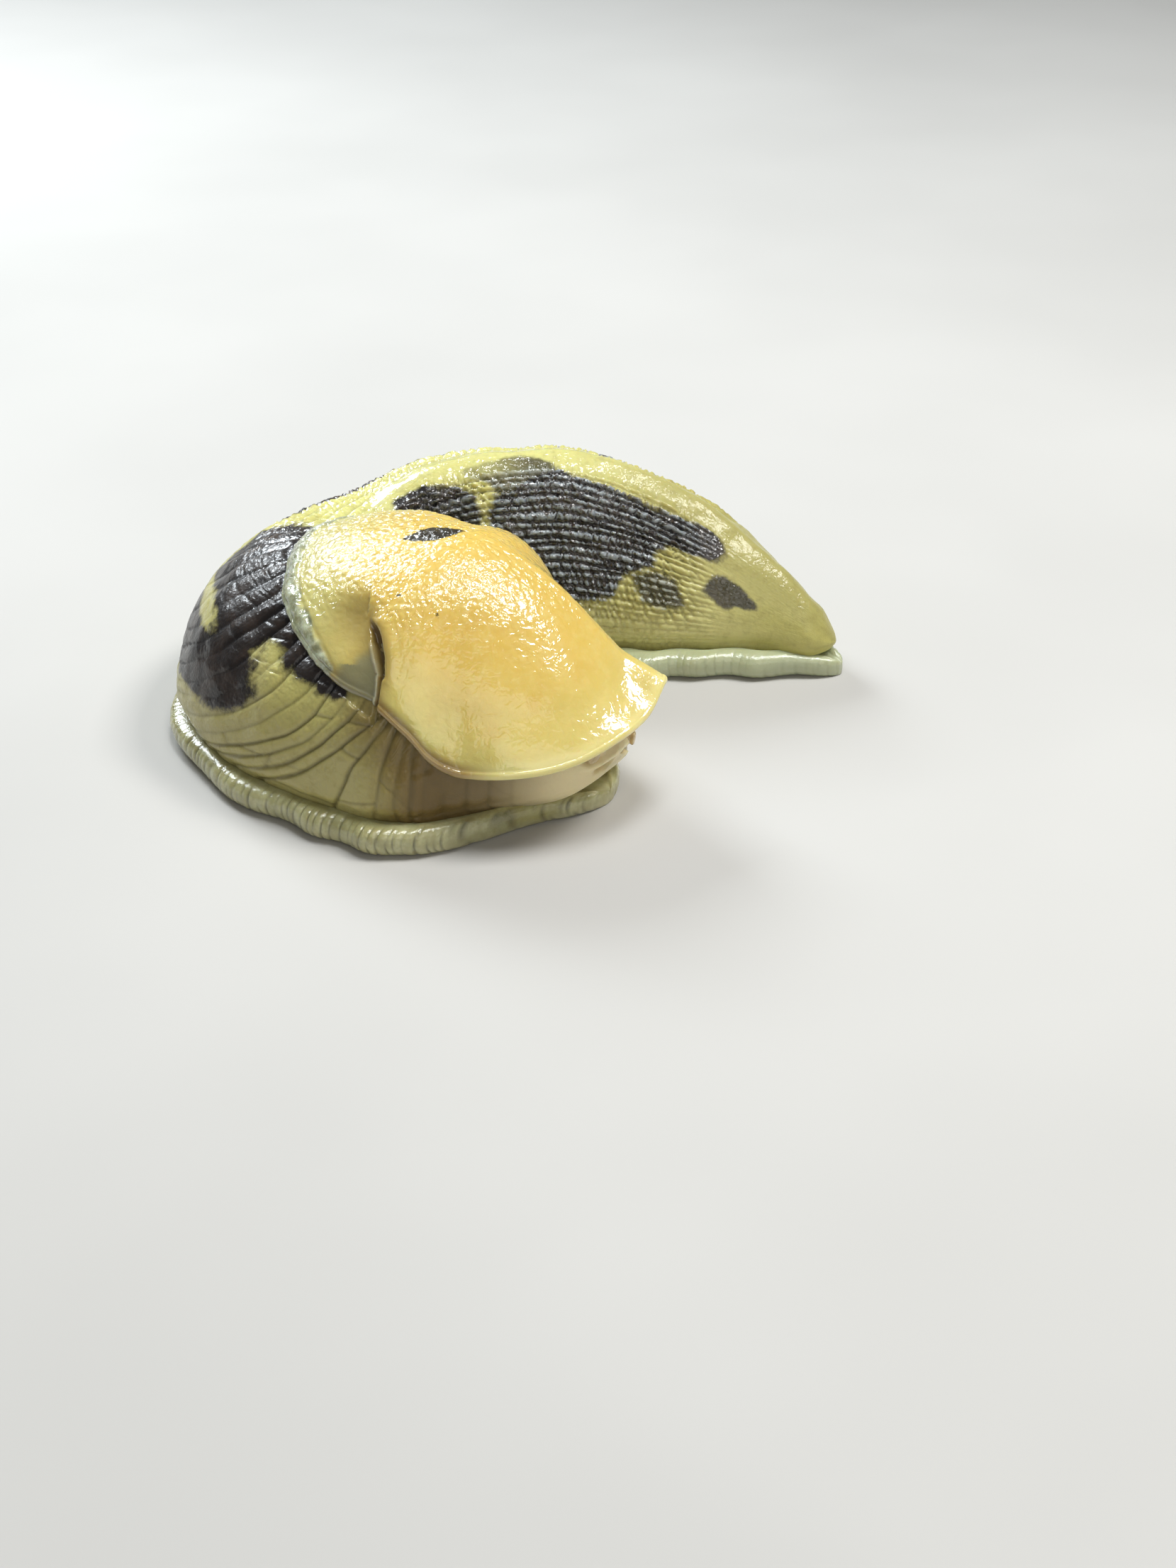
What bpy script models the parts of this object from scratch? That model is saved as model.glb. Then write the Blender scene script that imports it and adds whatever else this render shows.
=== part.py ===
"""Spotted banana slug at life size, drawn in and curled to its own left, resting on its sole.

Sizes are in millimetres and become metres when a mesh is made. Z is up and the floor is z = 0. The
slug's front third points to the right (+X) and a little towards -Y, its body bends round at -X, and
its tail lies behind, pointing to +X. The origin is the middle of the box round the slug, on the floor.

The body is a row of cross-sections along one curved line, the spine, on which s is the distance in
millimetres from the tip of the snout. A second shape, the mantle, is a domed cushion over the front
third: along its rear and right it lies on the trunk, and in front it is a free hood over the head.
"""

import math

import bmesh
import bpy
import numpy as np
from mathutils import Matrix, Vector
from mathutils.bvhtree import BVHTree

MM = 0.001
GAP = 0.3  # between pieces that touch

# The spine, from the snout to the tip of the tail.
SNOUT = (14.0, -21.6)
SNOUT_COURSE = 147.0  # degrees from +X, looking from the snout towards the tail
BENDS = ((25.0, 40.0, 138.0), (63.0, 42.0, 38.0))  # start, length, degrees turned clockwise
LENGTH = 109.0

# The trunk: s against half-width to the slug's right and left, height of the back, and section
# power (2 is an ellipse, less is a tent with a keel).
HALF_RIGHT = ((0, 7.3), (4, 8.6), (8, 13.2), (13, 19.9), (20, 22.3), (28, 22.5), (36, 22.0), (43, 19.4),
              (50, 16.2), (55, 15.2), (69, 13.5), (85, 11.4), (97, 7.4), (104, 4.2), (109, 2))
HALF_LEFT = ((0, 6.2), (4, 7.2), (8, 9.9), (13, 13), (20, 14.6), (27, 12.8), (36, 9.2), (43, 8.2), (55, 8.6),
             (69, 10.6), (85, 10.4), (97, 6.6), (104, 3.8), (109, 2))
BACK = ((0, 11), (4, 13), (8, 16.5), (13, 21), (20, 23.6), (30, 23.4), (37, 22.8), (44, 20.8), (50, 20.4),
        (58, 22.9), (66, 24), (72, 24), (80, 22.5), (89, 19.2), (98, 14.1), (106, 8), (109, 5))
SECTION = ((0, 2.1), (43, 2.0), (60, 1.8), (85, 1.55), (109, 1.5))
FLANK_POWER = 0.85
FLANK_SWELL = 0.3
KEEL_HEIGHT = ((0, 0), (46, 0), (62, 0.5), (90, 0.8), (106, 0.4), (109, 0))
KEEL_WIDTH = 1.3
SNOUT_ROUND, SNOUT_MID = 5.5, 6.6  # length of the rounded end, and the height it closes at
TAIL_ROUND, TAIL_MID = 3.0, 4.2
RING_STEP = 1.9
END_RINGS, END_START = 6, 0.12  # rings of a rounded end, and the angle of its first one
OVER_POINTS = 37

# The foot: a flat sole with a rounded rim that stands out past the flanks.
FOOT_HEIGHT = 3.3
FOOT_OUT_RIGHT = ((1, 1.4), (13, 2.4), (20, 1.6), (33, 1.3), (40, 0.8), (48, 0.9), (58, 1.8), (92, 2.0),
                  (109, 1.6))
FOOT_OUT_LEFT = ((1, 1.6), (13, 2.0), (24, 1.2), (36, 0.8), (58, 0.8), (70, 2.2), (92, 2.4), (109, 1.8))
FOOT_FRONT, FOOT_REAR = 1.0, 110.0
FOOT_ROUND = 9.0
FOOT_END_HEIGHT = 0.45  # of the full height, at the two ends
RIM_FULL_AT = 4.0  # half-width of the foot below which its rim is drawn narrower
RIM_WAVE, RIM_WAVE_LENGTH = 0.35, 7.3
RIM_LIFT, RIM_LIFT_LENGTH = 0.45, 11.9
RIM_SECTION = ((-2.4, 0.0), (-1.1, 0.1), (-0.3, 0.6), (0.0, 1.4), (-0.2, 2.3), (-0.9, 3.0), (-2.2, 3.3))
TRUNK_BASE = FOOT_HEIGHT + GAP

# Where the body is parted: each length runs from one cut to the next.
TRUNK_LENGTHS = (("head", 0.0), ("neck", 9.0), ("trunk_front", 18.0), ("trunk_bend_front", 31.0),
                 ("trunk_bend_rear", 46.0), ("trunk_rear", 61.0), ("tail", 79.0), ("tail_tip", 96.0))
FOOT_LENGTHS = (("foot_front", FOOT_FRONT), ("foot_bend_front", 31.0), ("foot_bend_rear", 46.0),
                ("foot_rear", 61.0), ("foot_tail", 85.0))

# The mantle, in its own plan frame: t forwards and a to the slug's left, from its centre.
MANTLE_CENTRE = (-2.0, -11.5)
MANTLE_COURSE = -33.0  # degrees from +X, looking forwards
MANTLE_FRONT, MANTLE_REAR, MANTLE_LEFT, MANTLE_RIGHT = 22.2, 21.7, 13.6, 19.2
MANTLE_ARC = 74.0  # degrees of dome from the crown to the margin
CROWN = ((-24, 27.2), (-12, 28), (0, 28.2), (8, 26.3), (16, 22.5), (23, 18))  # t against height
FREE_MARGIN = ((-180, 5), (-100, 5), (-80, 9.4), (-52, 10), (-33, 10.4), (-20, 11.5), (-7, 12.4),  # degrees,
               (8, 13), (24, 16.1), (31, 12.9), (38, 10.8), (50, 10.4), (75, 11.6), (100, 13.4),  # and height
               (118, 16), (132, 20), (145, 22.5), (180, 5))
HOOD_BACK, HOOD_DEEP = 9.0, 3.0  # t where the hollow begins, and where the mantle lies on the neck
CORNER_AT, CORNER_WIDTH, CORNER_OUT = 25.0, 11.0, 0.07
WAIST_AT, WAIST_WIDTH, WAIST_IN, WAIST_FULL_AT = 60.0, 26.0, 0.20, 0.8
MARGIN_THICK, HOOD_THICK, CUSHION_THICK = 0.9, 2.4, 3.6
MARGIN_FLARE, LIP_START = 0.05, 0.78
LIP_OUT = 1.012  # how far the round of the lip stands out past the margin
THICK_AT = 0.45  # from the centre to here the mantle has its full thickness
MANTLE_OVER = 50.0  # s past which none of the trunk is under the mantle
LIFT_NEAR, LIFT_FAR = 3.0, 7.0  # the trunk rises to the mantle where it is nearer than this
MANTLE_COLUMNS = 76
MARGIN_EVEN = ((1 / 9, -2), (2 / 9, -1), (3 / 9, 0), (2 / 9, 1), (1 / 9, 2))  # weight, columns along
MANTLE_RINGS = (0.1, 0.2, 0.3, 0.4, 0.5, 0.59, 0.67, 0.74, 0.8, 0.85, 0.895, 0.93, 0.96, 0.985, 1.0)

# The breathing pore: a slit up from the right margin with a pit at its upper end.
PORE_COURSE = ((-87.5, 1.06), (-88.5, 0.94), (-89.0, 0.85), (-91.5, 0.77), (-97.0, 0.715))  # degrees, q
PORE_RADIUS = (0.5, 0.5, 0.6, 0.8, 0.6)
PORE_SINK = 0.1

# The head: feelers drawn in to nubs, in sockets, and the mouth.
FEELERS = {  # s, offset from the middle, lift of the aim, turn of the aim, radius, length
    "eye_stalk": (3.3, 2.9, 28.0, 12.0, 1.3, 1.7),
    "lower_feeler": (1.1, 3.8, -6.0, 22.0, 0.85, 0.9),
}
SOCKET_DEPTH = 1.0
SOCKET_REACH = 4.0  # how far a socket is cut outwards, in radii of its feeler
NUB = ((0.4, 0.86), (0.68, 0.94), (0.9, 0.72), (1.0, 0.25))  # of a feeler: height and radius, of its own
MOUTH_HALF, MOUTH_HEIGHT, MOUTH_ARCH = 3.2, 6.0, 0.3
MOUTH_RADIUS, LIP_RADIUS, LIP_RISE = 0.4, 0.8, 0.72
MOUTH_POINTS = 9

COLOURS = {  # base colour, roughness
    "mantle": ((0.66, 0.44, 0.10), 0.32),
    "trunk": ((0.50, 0.45, 0.16), 0.35),
    "head": ((0.60, 0.47, 0.26), 0.38),
    "foot": ((0.45, 0.44, 0.22), 0.40),
    "feeler": ((0.52, 0.40, 0.20), 0.35),
}


def smooth(u):
    """0 to 1 with level ends."""
    u = np.clip(u, 0.0, 1.0)
    return u * u * (3 - 2 * u)


def bell(distance, width):
    return np.exp(-((distance / width) ** 2))


def table(stations, at):
    """Value at a place, on a curve through the stations that never overshoots them."""
    xs, ys = np.array(stations, float).T
    slope = np.diff(ys) / np.diff(xs)
    before, after = slope[:-1], slope[1:]
    turn = before * after > 0
    mean = np.where(turn, 2 * before * after / np.where(turn, before + after, 1), 0)
    tangent = np.concatenate([slope[:1], mean, slope[-1:]])
    at = np.clip(at, xs[0], xs[-1])
    i = np.clip(np.searchsorted(xs, at, side="right") - 1, 0, len(xs) - 2)
    span = xs[i + 1] - xs[i]
    u = (at - xs[i]) / span
    rise = u * u * (3 - 2 * u)
    bend = u * (1 - u) * span * (tangent[i] * (1 - u) - tangent[i + 1] * u)
    return ys[i] + (ys[i + 1] - ys[i]) * rise + bend


# ---------------------------------------------------------------------------- spine and sections

def trace_spine():
    """Arrays of s, x, y and course, found by walking along the spine in small steps."""
    s = np.linspace(-20, LENGTH + 20, 3001)
    course = np.full_like(s, SNOUT_COURSE)
    for start, length, turned in BENDS:
        course -= turned * smooth((s - start) / length)
    course = np.radians(course)
    step = s[1] - s[0]
    middle = (course[1:] + course[:-1]) / 2
    x = np.concatenate([[0], np.cumsum(np.cos(middle)) * step])
    y = np.concatenate([[0], np.cumsum(np.sin(middle)) * step])
    return s, x - np.interp(0, s, x) + SNOUT[0], y - np.interp(0, s, y) + SNOUT[1], course


SPINE = trace_spine()


def spine(s):
    """Point, direction to the tail and direction to the slug's right, at s."""
    x, y, course = (np.interp(s, SPINE[0], column) for column in SPINE[1:])
    along = np.stack([np.cos(course), np.sin(course)], -1)
    right = np.stack([-np.sin(course), np.cos(course)], -1)
    return np.stack([x, y], -1), along, right


def round_end(distance, length):
    """Size of a rounded end, 0 at its tip to 1 where it meets the full section."""
    u = np.clip(distance / length, 0.0, 1.0)
    return np.sqrt(np.clip(1 - (1 - u) ** 2, 0.0, 1.0))


def trunk_section(s):
    """Points over the back at s, from the right base to the left base: offset to the right and height."""
    phi = np.linspace(0, math.pi, OVER_POINTS)
    c, n = np.cos(phi), np.sin(phi)
    half = np.where(c >= 0, table(HALF_RIGHT, s), table(HALF_LEFT, s))
    swell = FLANK_SWELL * np.sin(math.pi * np.abs(2 * phi / math.pi - 1))
    across = np.sign(c) * (half * np.abs(c) ** FLANK_POWER + swell)
    height = TRUNK_BASE + (table(BACK, s) - TRUNK_BASE) * n ** (2 / table(SECTION, s))
    height += table(KEEL_HEIGHT, s) * bell(across, KEEL_WIDTH) * n
    for tip, length, mid in ((s, SNOUT_ROUND, SNOUT_MID), (LENGTH - s, TAIL_ROUND, TAIL_MID)):
        size = round_end(tip, length)
        across = across * size
        height = mid + (height - mid) * size
    return across, height


def foot_section(s):
    """Points round the foot at s, from the middle of the sole by the right rim, over, and back."""
    size = round_end(s - FOOT_FRONT, FOOT_ROUND) * round_end(FOOT_REAR - s, FOOT_ROUND)
    height_size = FOOT_END_HEIGHT + (1 - FOOT_END_HEIGHT) * size
    across, height = [0.0], [0.0]
    for side, half, out, phase in ((1, HALF_RIGHT, FOOT_OUT_RIGHT, 0.0), (-1, HALF_LEFT, FOOT_OUT_LEFT, 1.9)):
        wave = RIM_WAVE * math.sin(2 * math.pi * s / RIM_WAVE_LENGTH + phase)
        lift = RIM_LIFT * (0.5 + 0.5 * math.sin(2 * math.pi * s / RIM_LIFT_LENGTH + phase))
        edge = float(table(half, s) + table(out, s) + wave) * size
        narrow = min(1.0, edge / RIM_FULL_AT)
        rim = [(side * (edge + x * narrow), (z + lift * math.sin(math.pi * z / FOOT_HEIGHT)) * height_size)
               for x, z in RIM_SECTION]
        if side < 0:
            rim = [(0.0, FOOT_HEIGHT * height_size), *reversed(rim)]
        across += [x for x, _ in rim]
        height += [z for _, z in rim]
    return np.array(across), np.array(height)


def place_section(section, s, shift=0.0):
    """World points of a section on the plane across the spine at s, moved along the spine by shift."""
    across, height = section(s)
    centre, along, right = spine(s)
    plan = centre + along * shift + across[:, None] * right
    return np.column_stack([plan, height])


def section_rings(section, start, end, rounded_start=0.0, rounded_end=0.0):
    """Sections from start to end. A rounded end has its sections closer and closer towards its tip, and
    a cut end stands back from its cut by half the gap, in a plane parallel to the next piece's."""
    closing = 1 - np.cos(np.linspace(END_START, math.pi / 2, END_RINGS))
    from_start = start + rounded_start * closing if rounded_start else [start]
    to_end = (end - rounded_end * closing)[::-1] if rounded_end else [end]
    between = round((to_end[0] - from_start[-1]) / RING_STEP) + 1
    middle = np.linspace(from_start[-1], to_end[0], max(3, between))[1:-1]
    rings = [place_section(section, s) for s in (*from_start, *middle, *to_end)]
    if not rounded_start:
        rings[0] = place_section(section, start, GAP / 2)
    if not rounded_end:
        rings[-1] = place_section(section, end, -GAP / 2)
    return rings


# -------------------------------------------------------------------------------- mantle surfaces

def mantle_to_plan(t, a):
    turn = math.radians(MANTLE_COURSE)
    return (MANTLE_CENTRE[0] + t * math.cos(turn) - a * math.sin(turn),
            MANTLE_CENTRE[1] + t * math.sin(turn) + a * math.cos(turn))


def plan_to_mantle(x, y):
    turn = math.radians(MANTLE_COURSE)
    x, y = x - MANTLE_CENTRE[0], y - MANTLE_CENTRE[1]
    return x * math.cos(turn) + y * math.sin(turn), y * math.cos(turn) - x * math.sin(turn)


def half_lengths(theta):
    """Half-lengths of the mantle's plan towards theta."""
    length = np.where(np.cos(theta) >= 0, MANTLE_FRONT, MANTLE_REAR)
    width = np.where(np.sin(theta) >= 0, MANTLE_LEFT, MANTLE_RIGHT)
    return length, width


def reach(q, theta):
    """Distance from the mantle's centre for q, 0 at the centre to 1 on the margin, as a share of the
    half-lengths. The front left corner stands out, with a waist behind it."""
    arc = math.radians(MANTLE_ARC)
    lip = smooth((q - LIP_START) / (1 - LIP_START))
    front = np.clip(np.cos(theta), 0, 1)
    corner = CORNER_OUT * bell(np.degrees(theta) - CORNER_AT, CORNER_WIDTH)
    waist = WAIST_IN * bell(np.degrees(theta) - WAIST_AT, WAIST_WIDTH) * smooth(q / WAIST_FULL_AT)
    return (np.sin(q * arc) / math.sin(arc) * (1 - MARGIN_FLARE - waist)
            + lip * (MARGIN_FLARE * (0.4 + 0.9 * front) + corner))


class Mantle:
    """The mantle's upper and lower surface, once the trunk that carries it is known."""

    def __init__(self, tree):
        self.angles = np.linspace(-math.pi, math.pi, MANTLE_COLUMNS + 1)
        free = table(FREE_MARGIN, np.degrees(self.angles[:-1]))
        held = np.array([self.rest_height(tree, theta) for theta in self.angles[:-1]])
        rough = np.maximum(free, held)
        even = sum(weight * np.roll(rough, turn) for weight, turn in MARGIN_EVEN)
        margin = np.maximum(even, held)
        self.margin = np.append(margin, margin[0])

    def rest_height(self, tree, theta):
        """Height of the margin where it lies on the trunk."""
        x, y = self.plan(1.0, theta)
        hit = tree.ray_cast(Vector((float(x), float(y), 2 * CROWN[0][1])), Vector((0, 0, -1)))[0]
        return hit.z + GAP + MARGIN_THICK if hit else 0.0

    @staticmethod
    def plan(q, theta):
        length, width = half_lengths(theta)
        rho = reach(q, theta)
        return mantle_to_plan(rho * length * np.cos(theta), rho * width * np.sin(theta))

    def upper(self, q, theta):
        arc = math.radians(MANTLE_ARC)
        rise = (np.cos(q * arc) - math.cos(arc)) / (1 - math.cos(arc))
        length, _ = half_lengths(theta)
        crown = table(CROWN, reach(q, theta) * length * np.cos(theta))
        margin = np.interp(theta, self.angles, self.margin)
        return margin + (crown - margin) * rise

    def thickness(self, q, theta):
        length, _ = half_lengths(theta)
        forward = reach(q, theta) * length * np.cos(theta)
        hood = smooth((forward - HOOD_DEEP) / (HOOD_BACK - HOOD_DEEP))
        full = CUSHION_THICK + (HOOD_THICK - CUSHION_THICK) * hood
        return MARGIN_THICK + (full - MARGIN_THICK) * smooth((1 - q) / (1 - THICK_AT))

    def lower(self, q, theta):
        return self.upper(q, theta) - self.thickness(q, theta)

    def fit_under(self, points):
        """Trunk points below the mantle are set to its underside, those below the hood only kept clear."""
        t, a = plan_to_mantle(points[:, 0], points[:, 1])
        length = np.where(t >= 0, MANTLE_FRONT, MANTLE_REAR)
        width = np.where(a >= 0, MANTLE_LEFT, MANTLE_RIGHT)
        theta = np.arctan2(a / width, t / length)
        rho = np.hypot(a / width, t / length)
        steps = np.linspace(0, 1, 201)
        q = np.array([np.interp(r, reach(steps, angle), steps) for r, angle in zip(rho, theta)])
        inside = rho < np.array([float(reach(1.0, angle)) for angle in theta])
        limit = self.lower(q, theta) - GAP
        below = limit - points[:, 2]
        loose = smooth((t - HOOD_DEEP) / (HOOD_BACK - HOOD_DEEP))
        loose = np.maximum(loose, smooth((below - LIFT_NEAR) / (LIFT_FAR - LIFT_NEAR)))
        fitted = limit - np.maximum(below, 0) * loose
        points[:, 2] = np.where(inside & (points[:, 2] > TRUNK_BASE), fitted, points[:, 2])
        return points


# ------------------------------------------------------------------------------------ mesh makers

def material(kind):
    made = bpy.data.materials.new(kind)
    made.use_nodes = True
    shader = made.node_tree.nodes["Principled BSDF"]
    colour, roughness = COLOURS[kind]
    shader.inputs["Base Color"].default_value = (*colour, 1)
    shader.inputs["Roughness"].default_value = roughness
    shader.inputs["Metallic"].default_value = 0
    return made


def new_object(name, bm, kind, collection):
    mesh = bpy.data.meshes.new(name)
    bm.to_mesh(mesh)
    bm.free()
    made = bpy.data.objects.new(name, mesh)
    if kind:
        mesh.materials.append(material(kind))
    mesh.shade_smooth()
    mesh.set_sharp_from_angle(angle=math.radians(50))
    collection.objects.link(made)
    return made


def loft(rings):
    """Closed bmesh through rings with the same number of points, with flat ends."""
    bm = bmesh.new()
    rows = [[bm.verts.new(Vector(map(float, point)) * MM) for point in ring] for ring in rings]
    for row, following in zip(rows, rows[1:]):
        for i in range(len(row)):
            j = (i + 1) % len(row)
            bm.faces.new((row[i], row[j], following[j], following[i]))
    for end in (rows[0], rows[-1]):
        bm.faces.new(end)
    bmesh.ops.recalc_face_normals(bm, faces=bm.faces)
    bmesh.ops.triangulate(bm, faces=bm.faces)
    return bm


def mantle_mesh(mantle):
    """Dome above, underside below, and a rounded lip between them, all on the same columns."""
    bm = bmesh.new()
    angles = mantle.angles[:-1]

    def row(q, height):
        x, y = mantle.plan(q, angles)
        return [bm.verts.new(Vector((float(p[0]), float(p[1]), float(p[2]))) * MM)
                for p in zip(x, y, height)]

    lip = mantle.upper(1.0, angles) - MARGIN_THICK / 2
    rows = [row(q, mantle.upper(q, angles)) for q in MANTLE_RINGS]
    rows += [row(LIP_OUT, lip)]
    rows += [row(q, mantle.lower(q, angles)) for q in reversed(MANTLE_RINGS)]
    for outer, inner in zip(rows, rows[1:]):
        for i in range(len(outer)):
            j = (i + 1) % len(outer)
            bm.faces.new((outer[i], outer[j], inner[j]))
            bm.faces.new((outer[i], inner[j], inner[i]))
    for ends, height in ((rows[0], mantle.upper(0.0, 0.0)), (rows[-1], mantle.lower(0.0, 0.0))):
        middle = bm.verts.new(Vector((*MANTLE_CENTRE, float(height))) * MM)
        for i in range(len(ends)):
            bm.faces.new((ends[i], ends[(i + 1) % len(ends)], middle))
    bmesh.ops.recalc_face_normals(bm, faces=bm.faces)
    return bm


def bead(points, radii, sides=10):
    """Closed bmesh of a tube with round ends through the points, as wide as the radii."""
    points = [Vector(p) for p in points]
    rings = []
    for i, (point, radius) in enumerate(zip(points, radii)):
        ahead = (points[min(i + 1, len(points) - 1)] - points[max(i - 1, 0)]).normalized()
        side = ahead.orthogonal().normalized() if i == 0 else (side - ahead * side.dot(ahead)).normalized()
        up = ahead.cross(side)
        cap = {0: -1, len(points) - 1: 1}.get(i, 0)
        spread = ((0.0, 1.0), (math.sqrt(0.5), math.sqrt(0.5))) if cap else ((0.0, 1.0),)
        for out, size in (spread if cap > 0 else reversed(spread)):
            rings.append([point + ahead * (cap * out * radius)
                          + (side * math.cos(w) + up * math.sin(w)) * (radius * size)
                          for w in (2 * math.pi * k / sides for k in range(sides))])
    return loft(rings)


def boolean(target, cutter, operation):
    change = target.modifiers.new(operation.lower(), "BOOLEAN")
    change.operation = operation
    change.object = cutter
    change.solver = "EXACT"


def cutter_object(name, bm, cutters):
    made = new_object(name, bm, None, cutters)
    made.hide_render = True
    made.display_type = "WIRE"
    return made


# ------------------------------------------------------------------------------------- the pieces

def make_trunk(mantle, body):
    pieces = {}
    ends = [start for _, start in TRUNK_LENGTHS[1:]] + [LENGTH]
    for (name, start), end in zip(TRUNK_LENGTHS, ends):
        rings = section_rings(trunk_section, start, end, SNOUT_ROUND if start == 0 else 0,
                              TAIL_ROUND if end == LENGTH else 0)
        if start < MANTLE_OVER:
            rings = [mantle.fit_under(ring) for ring in rings]
        pieces[name] = new_object(name, loft(rings), "head" if name in ("head", "neck") else "trunk", body)
    return pieces


def make_foot(body):
    ends = [start for _, start in FOOT_LENGTHS[1:]] + [FOOT_REAR]
    for (name, start), end in zip(FOOT_LENGTHS, ends):
        rings = section_rings(foot_section, start, end, FOOT_ROUND if start == FOOT_FRONT else 0,
                              FOOT_ROUND if end == FOOT_REAR else 0)
        new_object(name, loft(rings), "foot", body)


def make_mantle(mantle, body, cutters):
    piece = new_object("mantle", mantle_mesh(mantle), "mantle", body)
    course = []
    for degrees, q in PORE_COURSE:
        theta = math.radians(degrees)
        x, y = mantle.plan(q, theta)
        course.append((float(x), float(y), float(mantle.upper(min(q, 1.0), theta)) - PORE_SINK))
    boolean(piece, cutter_object("pore_cutter", bead(course, PORE_RADIUS), cutters), "DIFFERENCE")
    return piece


def head_frame(s, to_left, lift, turn):
    """Frame on the head's surface at s and an offset to the left, with its Z along the feeler's aim."""
    centre, along, right = spine(s)
    side = 1 if to_left > 0 else -1
    forward = Vector((-along[0], -along[1], 0))
    left = Vector((-right[0], -right[1], 0))
    outward = forward * math.cos(math.radians(turn)) + left * side * math.sin(math.radians(turn))
    aim = outward * math.cos(math.radians(lift)) + Vector((0, 0, math.sin(math.radians(lift))))
    across, height = trunk_section(s)
    order = np.argsort(-across)
    top = float(np.interp(to_left, -across[order], height[order]))
    base = Vector((centre[0] - right[0] * to_left, centre[1] - right[1] * to_left, top))
    return Matrix.Translation(base) @ aim.to_track_quat("Z", "Y").to_matrix().to_4x4()


def turned(profile, frame, sides=16):
    """Closed bmesh of a profile of (radius, height) pairs turned about the frame's Z."""
    return loft([[frame @ Vector((radius * math.cos(w), radius * math.sin(w), height))
                  for w in (2 * math.pi * k / sides for k in range(sides))] for radius, height in profile])


def make_feelers(head, body, cutters):
    for kind, (s, offset, lift, turn, radius, length) in FEELERS.items():
        for side, side_name in ((1, "left"), (-1, "right")):
            name = f"{kind}_{side_name}"
            frame = head_frame(s, side * offset, lift, turn)
            socket = [(radius + GAP, -SOCKET_DEPTH - GAP), (radius + GAP, SOCKET_REACH * radius)]
            boolean(head, cutter_object(f"{name}_socket", turned(socket, frame), cutters), "DIFFERENCE")
            nub = [(radius, -SOCKET_DEPTH), (radius, 0.0)]
            nub += [(across * radius, height * length) for height, across in NUB]
            new_object(name, turned(nub, frame), "feeler", body)


def mouth_line(radius, rise):
    """Tube along a curve across the front of the head, raised from the mouth's own height by rise."""
    centre, along, right = spine(0.0)
    points, radii = [], []
    for u in np.linspace(-1, 1, MOUTH_POINTS):
        across = MOUTH_HALF * u
        half = table(HALF_RIGHT if across > 0 else HALF_LEFT, SNOUT_ROUND / 2)
        back = SNOUT_ROUND * (1 - math.sqrt(1 - (across / half) ** 2))
        plan = centre + right * across + along * back
        points.append((*plan, MOUTH_HEIGHT - MOUTH_ARCH * u * u + rise))
        radii.append(radius * (0.35 + 0.65 * math.cos(math.pi * u / 2)))
    return bead(points, radii, 8)


def make_mouth(head, cutters):
    """Upper and lower lip, and the line of the mouth between them."""
    for name, rise in (("upper_lip", LIP_RISE), ("lower_lip", -LIP_RISE)):
        boolean(head, cutter_object(name, mouth_line(LIP_RADIUS, rise), cutters), "UNION")
    boolean(head, cutter_object("mouth", mouth_line(MOUTH_RADIUS, 0), cutters), "DIFFERENCE")


def trunk_tree():
    """The trunk's own surface, before the mantle is laid on it, for finding heights."""
    rings = [place_section(trunk_section, s) for s in np.arange(0.5, MANTLE_OVER + 8, 1.0)]
    width = len(rings[0])
    faces = [(r * width + i, r * width + i + 1, (r + 1) * width + i + 1, (r + 1) * width + i)
             for r in range(len(rings) - 1) for i in range(width - 1)]
    return BVHTree.FromPolygons([Vector(map(float, p)) for ring in rings for p in ring], faces)


def centre_on_origin(objects):
    """Every mesh is moved alike, so that the middle of the box round the slug is at x = y = 0."""
    corners = np.array([v.co for made in objects for v in made.data.vertices])
    middle = (corners.min(0) + corners.max(0)) / 2
    for made in [*objects, *bpy.data.collections["cutters"].objects]:
        made.data.transform(Matrix.Translation((-middle[0], -middle[1], 0)))


def main():
    for old in list(bpy.data.objects):
        bpy.data.objects.remove(old, do_unlink=True)
    body = bpy.data.collections.new("banana_slug")
    cutters = bpy.data.collections.new("cutters")
    for collection in (body, cutters):
        bpy.context.scene.collection.children.link(collection)
    mantle = Mantle(trunk_tree())
    trunk = make_trunk(mantle, body)
    make_foot(body)
    make_mantle(mantle, body, cutters)
    make_mouth(trunk["head"], cutters)
    make_feelers(trunk["head"], body, cutters)
    centre_on_origin(list(body.objects))


main()
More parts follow.
